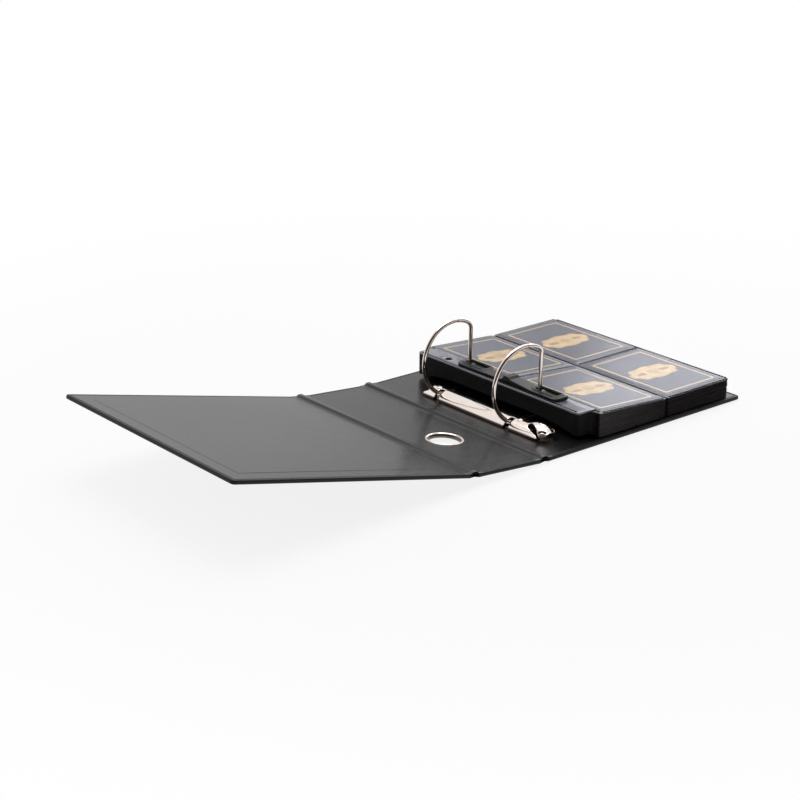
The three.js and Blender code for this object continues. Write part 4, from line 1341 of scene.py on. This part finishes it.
def pocket_window(row, column):
    """Makes a pocket's clear film: welded down at its rim, eased up over the card and faintly waved."""
    x0, y0, x1, y1 = pocket_box(row, column)
    inner, near = column == "inner", row == "near"
    corners = [
        (x0, y0, 1.2 if near else 0.3), (x1, y0, (1.2 if inner else 4.6) if near else 0.3),
        (x1, y1, 0.3 if near else (1.2 if inner else 4.6)), (x0, y1, 0.3 if near else 1.2),
    ]
    rim = filleted(corners)
    wave = size("film_wave")
    seed = 1.7 * (1 - 2 * near) + (0.9 if inner else 2.3)

    def top(x, y):
        gap = edge_distance(np.stack([x, y], 1), [rim])
        rise = 1 - smooth_rise(np.maximum(gap - 1.5, 0), 1.5)
        ripple = np.sin(x / 8.5 + seed) * np.sin(y / 12.0 + 2 * seed) + 0.6 * np.sin((x + y) / 15 + seed)
        return leaf_floor(x) + BACKING + WELD_LEVEL + rise * (0.66 + wave * 0.5 * ripple)

    form = Form()
    form.slab(
        [subdivided(rim, 2.5)], top, lambda x, y: top(x, y) - 0.12, rounding(0.05, 1), step=(2.2, 2.2),
    )
    name = f"{row}_{column}"
    made = form.piece(f"{name}_pocket_film", ["clear"], "window", "top_leaf")
    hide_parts(f"{name}_window")


def card_centre(row, column):
    """Where a card's middle is."""
    low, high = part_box(f"{row}_{column}_card")
    middle = (low + high) / 2 - CASE_ORIGIN
    return middle.x / MM, middle.y / MM


CARD_RISE = 0.85
CARD_THICKNESS = 0.32
CARD_CORNER = 3.0
BORDER_HALF = (27.9, 40.5)
BORDER_LINE = 1.5
CARTOUCHE_HALF = (21.0, 13.4)


def card_level(x, _y=None):
    """The height of a card's face."""
    return leaf_floor(x) + CARD_RISE


def cartouche(centre):
    """The outline of the gold field: a long shape with eight shallow lobes."""
    angles = np.linspace(0, 2 * math.pi, 144, endpoint=False)
    lobes = 1 + 0.06 * np.cos(8 * angles) + 0.08 * np.cos(2 * angles)
    ways = np.stack([np.cos(angles), np.sin(angles)], 1)
    return centre + CARTOUCHE_HALF * lobes[:, None] * np.sign(ways) * np.abs(ways) ** 0.8


def star(centre, outer, inner, points, turn=0.0):
    """A pointed star's outline."""
    angles = turn + np.arange(points * 2) * math.pi / points
    radii = np.where(np.arange(points * 2) % 2 == 0, outer, inner)
    return np.stack([centre[0] + radii * np.cos(angles), centre[1] + radii * np.sin(angles)], 1)


def leaf_shape(centre, angle, length, width):
    """A pointed leaf from its middle along an angle."""
    along = np.linspace(0, 1, 11)
    half = width / 2 * np.sin(np.pi * along) ** 0.8
    upper = np.stack([(along - 0.5) * length, half], 1)
    lower = np.stack([(along - 0.5) * length, -half], 1)[-2:0:-1]
    loop = np.concatenate([upper, lower])[::-1]
    c, s = math.cos(angle), math.sin(angle)
    return np.stack([
        centre[0] + loop[:, 0] * c - loop[:, 1] * s, centre[1] + loop[:, 0] * s + loop[:, 1] * c
    ], 1)


def ornament(form, centre):
    """Adds the printed gold: a thin frame, and a cartouche with a star and two leaf sprays."""
    x, y = centre
    thick = size("foil")

    def printed(loops, level, finish):
        def top(px, _py):
            return card_level(px) + thick * level

        def low(px, _py):
            return card_level(px) + thick * (level - 1) * 0.98

        form.slab(loops, top, low, [(0.0, 0.0)], finish=finish)

    def border(inset, radius):
        w, h = BORDER_HALF[0] - inset, BORDER_HALF[1] - inset
        return subdivided(rectangle(x - w, y - h, x + w, y + h, radius), 20)

    printed([border(0, 0.8), hole(border(BORDER_LINE, 0.4))], 1, 0)
    field = cartouche(centre)
    printed([field], 1, 0)
    line = field + inward(field) * 1.1
    printed([line, hole(line + inward(line) * 0.35)], 2, 1)
    printed([star(centre, 6.4, 2.7, 8, math.pi / 8)], 2, 1)
    printed([star(centre, 4.7, 1.9, 8)], 3, 0)
    printed([circle(x, y, 1.1, 20)], 4, 1)
    for side in (-1, 1):
        for k in range(4):
            root, length = x + side * (8.2 + 2.5 * k), 4.6 - 0.75 * k
            for lean in (-1, 1):
                angle = math.atan2(lean, side * 1.1)
                middle = (root + math.cos(angle) * length / 2, y + math.sin(angle) * length / 2)
                printed([leaf_shape(middle, angle, length, 1.5)], 2, 1)
        base, tip = x + side * 7.2, x + side * 17.4
        stem = [(base, y - 0.22), (tip, y - 0.12), (tip, y + 0.12), (base, y + 0.22)]
        printed([np.array(stem[::side])], 2, 1)
        for k in range(3):
            printed([circle(x + (k - 1) * 4.2, y + side * (9.3 - 0.5 * abs(k - 1)), 0.55, 14)], 2, 1)


def cards():
    """Makes the four cards with their printed gold."""
    for row in ROWS:
        for column in COLUMNS:
            name = f"{row}_{column}"
            x, y = card_centre(row, column)
            w, h = CARD_WIDTH / 2, CARD_HEIGHT / 2
            form = Form()
            outline = subdivided(rectangle(x - w, y - h, x + w, y + h, CARD_CORNER), 8)
            form.slab(
                [outline], card_level, lambda px, py: card_level(px) - CARD_THICKNESS,
                rounding(0.1, 2), step=(10, 10),
            )
            made = form.piece(f"{name}_card_face", ["card"], "card", "top_leaf")
            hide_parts(f"{name}_card")
            print_form = Form()
            ornament(print_form, (x, y))
            print_form.piece(f"{name}_card_print", ["pale_gold", "deep_gold"], "card", "top_leaf")


def weld_lines():
    """Makes the dashed welds round the pockets and along the strip, and the crease at the fold."""
    dash, wide, pitch = size("weld_dash"), 2.0, size("weld_pitch")
    inset, clear_corner = 1.2, 3.0

    def run(form, start, end, height):
        start, end = np.array(start, float), np.array(end, float)
        length = np.linalg.norm(end - start)
        way = (end - start) / length
        side = np.array((-way[1], way[0]))
        count = int(length / pitch)
        for k in range(count):
            middle = start + way * (k + 0.5) * length / count
            corners = rectangle(-dash / 2, -wide / 2, dash / 2, wide / 2)
            loop = np.array([middle + way * a + side * b for a, b in corners])
            form.slab(
                [loop], lambda x, y: height(x) + 0.3, lambda x, y: height(x) - 0.03,
                [(0.1, 0.0), (0.0, 0.1)],
            )

    def film(x):
        return leaf_floor(x) + BACKING + WELD_LEVEL

    leaf = Form()
    for column in COLUMNS:
        x0, y0, _, _ = pocket_box("near", column)
        _, _, x1, y1 = pocket_box("far", column)
        for y in (y0 + inset, 0.0, y1 - inset):
            run(leaf, (x0 + 2, y), (x1 - 2, y), film)
        beside = x1 - inset if column == "outer" else x0 + inset
        run(leaf, (beside, y0 + clear_corner), (beside, y1 - clear_corner), film)
    crease = rectangle(FOLD_X - 1.05, 2.6 - PAGE_HALF, FOLD_X + 1.05, PAGE_HALF - 2.6, 0.2)
    leaf.slab(
        [subdivided(crease, 6)], lambda x, y: leaf_floor(x) + BACKING + 0.08,
        lambda x, y: leaf_floor(x) + BACKING - 0.05, rounding(0.05, 1), step=(4, 8),
    )
    leaf.piece("pocket_welds", ["weld"], "film", "top_leaf")
    strip = Form()
    edge, end = BINDING_X + 1.7, STRIP_HALF - clear_corner
    run(strip, (edge, -end), (edge, end), lambda x: STRIP_TOP_Z)
    strip.piece("strip_welds", ["weld"], "film", "back_cover")


def weld_fold():
    """Makes the thin film that joins the binding strip to the leaf."""
    x0, x1 = WELD_X - 1.4, WELD_X + 1.6
    top = softened((WELD_X - 4, WELD_X, WELD_X + 3), (21.45, 20.62, 20.4), 0.5)
    form = Form()
    loop = subdivided(rectangle(x0, -STRIP_HALF + 1, x1, STRIP_HALF - 1, 0.4), 6, (WELD_X,))
    form.slab(
        [loop], lambda x, y: top(x) + 0.06, lambda x, y: top(x) - 0.3, rounding(0.05, 1),
        step=(0.5, 8), columns=(WELD_X,),
    )
    made = form.piece("weld_fold", ["strip"], "film")
    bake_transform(made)


# Compressor


def compressor():
    """Makes the moulded compressor bar: two slotted pads, a waist and a raised grip."""
    waist_x = BAR_END_X - BAR_WAIST
    corners = [
        (BAR_START_X, BAR_NEAR_Y, 3.0), (BAR_END_X, BAR_NEAR_Y, 3.0), (BAR_END_X, -36.4, 1.4),
        (waist_x, -34.6, 1.2), (waist_x, 17.8, 1.2), (BAR_END_X, 19.4, 1.4),
        (BAR_END_X, BAR_FAR_Y, 5.5), (BAR_START_X, BAR_FAR_Y, 5.5),
    ]
    outline = subdivided(filleted(corners, 6), 1.6)
    x0, x1 = POST_X - WIRE_RADIUS - 0.4, POST_X + WIRE_RADIUS + 3.3
    slots = [rectangle(x0, y - SLOT_NEAR, x1, y + SLOT_FAR, 1.2, 5) for y in RING_PLACES]
    profile = softened(*zip(*BAR_LEVELS), 0.7)

    def top(x, y):
        points = np.stack([x, y], 1)
        level = BAR_TOP - 0.45 + profile(y)
        for slot in slots:
            gap = np.where(inside(points, [slot]), 0.0, edge_distance(points, [slot]))
            level = level + 0.85 * smooth_rise(np.maximum(np.abs(gap - 1.3) - 0.5, 0), 0.9)
        dimple = smooth_rise(np.hypot(x - DIMPLE[0], y - DIMPLE[1]), 1.2)
        grooves = sum(smooth_rise(np.abs(y - at), 0.45) for at in GRIP_LINES)
        return level - 0.5 * dimple - 0.28 * grooves

    form = Form()
    form.slab(
        [outline, *[hole(subdivided(s, 1.6)) for s in slots]], top, BAR_FLOOR, rounding(0.5, 4),
        rounding(0.3, 4), step=(0.8, 0.8),
    )
    for y in RING_PLACES:
        web = rectangle(x0 - 0.5, y - SLOT_NEAR - 0.5, x1 + 0.5, y - WEB_CLEAR, 0.3)
        form.slab([web], BAR_FLOOR + 0.45, BAR_FLOOR + 0.02, rounding(0.05, 1))
    made = form.piece("compressor_moulding", ["plastic"], "compressor", "compressor")
    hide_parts("compressor_bar")


# Stage


CAMERA_PLACE = Vector((-1.0296, -1.0365, 0.5304))
CAMERA_YAW = 40.03
CAMERA_PITCH = 20.24
CAMERA_ROLL = 0.43
FLOOR_LEVEL = -0.6
FLOOR_RINGS = (0.001, 600.0, 2400.0, 9000.0)
# Each lamp: its name, its place, its width and its power in watts
LAMPS = (
    ("top_light", (0.15, 0.35, 1.5), 1.2, 13.0),
    ("side_light", (1.473, 0.625, 0.75), 1.2, 8.6),
)


def camera():
    """Puts the camera where the photograph was taken from."""
    yaw, pitch, roll = (math.radians(a) for a in (CAMERA_YAW, CAMERA_PITCH, CAMERA_ROLL))
    ahead = Vector((
        math.sin(yaw) * math.cos(pitch), math.cos(yaw) * math.cos(pitch), -math.sin(pitch)
    ))
    level = Vector((math.cos(yaw), -math.sin(yaw), 0))
    upright = level.cross(ahead)
    right = level * math.cos(roll) + upright * math.sin(roll)
    up = upright * math.cos(roll) - level * math.sin(roll)
    data = bpy.data.cameras.new("camera")
    data.lens = bpy.context.scene.binder_sizes.lens
    data.sensor_width = 36.0
    data.clip_start, data.clip_end = 0.05, 50.0
    made = bpy.data.objects.new("camera", data)
    turn = Matrix((right, up, -ahead)).transposed().to_4x4()
    made.matrix_world = Matrix.Translation(CAMERA_PLACE) @ turn
    bpy.context.scene.collection.objects.link(made)
    bpy.context.scene.camera = made


def soft_lamp(name, place, aim, width, power):
    """Adds a square soft lamp that looks at a point."""
    data = bpy.data.lights.new(name, "AREA")
    data.shape = "SQUARE"
    data.size = width
    data.energy = power
    made = bpy.data.objects.new(name, data)
    made.location = place
    made.rotation_mode = "QUATERNION"
    made.rotation_quaternion = (Vector(aim) - Vector(place)).to_track_quat("-Z", "Y")
    bpy.context.scene.collection.objects.link(made)


def ray_share(s, *kinds):
    """1 for rays of the kinds named, and 0 for the others."""
    node = s.node("ShaderNodeLightPath").socket.node
    largest, *others = (Signal(s, node.outputs[kind]) for kind in kinds)
    for other in others:
        largest = largest.math("MAXIMUM", largest, other)
    return largest


def seen_share(s):
    """1 for rays from the camera, off gloss and through glass."""
    return ray_share(s, "Is Camera Ray", "Is Glossy Ray", "Is Transmission Ray")


def floor_paper():
    """The floor's finish: matt pale paper that the camera sees as near white."""
    colours = bpy.context.scene.binder_colours
    s = new_shader("studio_floor")
    grain = s.noise(40, 2.0)
    tone = s.tones(grain, colours.floor, 0.995, 1.005)
    paper = s.principled(base_color=tone, roughness=0.85, specular_ior_level=0.1)
    bright = s.node("ShaderNodeEmission", {}, {"Color": (1, 1, 1, 1), "Strength": 1.0})
    distance = s.node("ShaderNodeVectorMath", {"operation": "LENGTH"}, {0: s.place()}, output=1)
    share = seen_share(s) * (0.86 + distance.between(0.25, 0.75) * 0.14)
    return s.finish(s.blend(share, paper, bright))


def floor_sheet():
    """Makes the floor, a wide round sheet just under the case."""
    form = Form()
    form.rows([
        np.insert(circle(0, 0, radius, 64), 2, FLOOR_LEVEL, axis=1) for radius in FLOOR_RINGS
    ])
    mesh = bpy.data.meshes.new("floor")
    mesh.from_pydata((np.concatenate(form.points) * MM).tolist(), [], form.faces)
    mesh.materials.append(floor_paper())
    floor = bpy.data.objects.new("floor", mesh)
    bpy.context.scene.collection.objects.link(floor)


def room():
    """Makes the pale room: dark behind the camera, and with a dark patch on its right."""
    world = bpy.data.worlds.new("studio")
    bpy.context.scene.world = world
    w = Shader(world)
    way = w.node("ShaderNodeTexCoord", output=0)

    def along(x, y):
        settings = {"operation": "DOT_PRODUCT"}
        return w.node("ShaderNodeVectorMath", settings, {0: way, 1: (x, y, 0)}, output=1)

    yaw = math.radians(CAMERA_YAW)
    facing = along(math.sin(yaw), math.cos(yaw))
    beside = along(math.cos(yaw), -math.sin(yaw))
    height = w.part(way, 2)
    gap = beside.between(0.03, 0.1) * height.between(0.06, 0.18) * (1 - height.between(0.42, 0.55))
    unseen = 1 - ray_share(w, "Is Camera Ray")
    dark = unseen * (1 - facing.between(-0.45, 0.2))
    tone = w.mix(dark, (1, 1, 1, 1), (0.09, 0.062, 0.05, 1))
    strength = (0.55 + seen_share(w) * 0.45) * (1 - unseen * gap * 0.93)
    light = w.node("ShaderNodeBackground", {}, {"Color": tone, "Strength": strength})
    w.node("ShaderNodeOutputWorld", {}, {"Surface": light})


def studio():
    """Makes the floor, the room and the two soft lamps."""
    floor_sheet()
    room()
    for name, place, width, power in LAMPS:
        soft_lamp(name, place, (0, 0, 0), width, power)


def plain_view():
    """Sets the plain colour transform."""
    bpy.context.scene.view_settings.view_transform = "Standard"


# Operators


class BINDER_OT_stage(bpy.types.Operator):
    """Make the camera, the floor and the lamps"""

    bl_idname = "binder.stage"
    bl_label = "Stage"

    def execute(self, _context):
        camera()
        studio()
        plain_view()
        return {"FINISHED"}


class BINDER_OT_panels(bpy.types.Operator):
    """Make the two covers and the spine"""

    bl_idname = "binder.panels"
    bl_label = "Case panels"

    def execute(self, _context):
        for name in PANEL_FRAMES:
            panel(name)
        return {"FINISHED"}


class BINDER_OT_hinges(bpy.types.Operator):
    """Make the skins that bend at the two hinges of the case"""

    bl_idname = "binder.hinges"
    bl_label = "Case hinges"

    def execute(self, _context):
        for name in HINGES:
            hinge_skins(name)
        return {"FINISHED"}


class BINDER_OT_finger_hole(bpy.types.Operator):
    """Make the eyelet of the finger hole"""

    bl_idname = "binder.finger_hole"
    bl_label = "Finger hole"

    def execute(self, _context):
        finger_hole()
        return {"FINISHED"}


class BINDER_OT_plate(bpy.types.Operator):
    """Make the sprung plate, its rivets and what lies under it"""

    bl_idname = "binder.plate"
    bl_label = "Sprung plate"

    def execute(self, _context):
        sprung_plate()
        rivets()
        kept_metal()
        return {"FINISHED"}


class BINDER_OT_rings(bpy.types.Operator):
    """Make the four half rings"""

    bl_idname = "binder.rings"
    bl_label = "Rings"

    def execute(self, _context):
        rings()
        return {"FINISHED"}


class BINDER_OT_lever(bpy.types.Operator):
    """Make the opening lever"""

    bl_idname = "binder.lever"
    bl_label = "Opening lever"

    def execute(self, _context):
        thumb_lever()
        return {"FINISHED"}


class BINDER_OT_pages(bpy.types.Operator):
    """Make the stack of pages under the top one"""

    bl_idname = "binder.pages"
    bl_label = "Lower pages"

    def execute(self, _context):
        lower_pages()
        return {"FINISHED"}


class BINDER_OT_top_page(bpy.types.Operator):
    """Make the top page: its strip, backing, pockets, welds and cards"""

    bl_idname = "binder.top_page"
    bl_label = "Top page"

    def execute(self, _context):
        top_strip()
        top_backing()
        cards()
        for row in ROWS:
            for column in COLUMNS:
                pocket_window(row, column)
        weld_lines()
        weld_fold()
        return {"FINISHED"}


class BINDER_OT_compressor(bpy.types.Operator):
    """Make the compressor bar"""

    bl_idname = "binder.compressor"
    bl_label = "Compressor"

    def execute(self, _context):
        compressor()
        return {"FINISHED"}


OPERATORS = (
    BINDER_OT_stage,
    BINDER_OT_panels,
    BINDER_OT_hinges,
    BINDER_OT_finger_hole,
    BINDER_OT_plate,
    BINDER_OT_rings,
    BINDER_OT_lever,
    BINDER_OT_pages,
    BINDER_OT_top_page,
    BINDER_OT_compressor,
)


class BINDER_PT_pieces(bpy.types.Panel):
    """Buttons for each group of pieces, and the sizes and colours they use"""

    bl_idname = "BINDER_PT_pieces"
    bl_label = "Card ring binder"
    bl_space_type = "VIEW_3D"
    bl_region_type = "UI"
    bl_category = "Binder"

    def draw(self, context):
        for operator in OPERATORS:
            self.layout.operator(operator.bl_idname)
        for group in (context.scene.binder_sizes, context.scene.binder_colours):
            for name in type(group).__annotations__:
                self.layout.prop(group, name)


CLASSES = (BinderColours, BinderSizes, *OPERATORS, BINDER_PT_pieces)


def register():
    for made in CLASSES:
        bpy.utils.register_class(made)
    bpy.types.Scene.binder_colours = bpy.props.PointerProperty(type=BinderColours)
    bpy.types.Scene.binder_sizes = bpy.props.PointerProperty(type=BinderSizes)


def unregister():
    del bpy.types.Scene.binder_sizes
    del bpy.types.Scene.binder_colours
    for made in reversed(CLASSES):
        bpy.utils.unregister_class(made)


def main():
    """Builds every piece."""
    register()
    for operator in OPERATORS:
        group, name = operator.bl_idname.split(".")
        getattr(getattr(bpy.ops, group), name)()


if __name__ == "__main__":
    main()
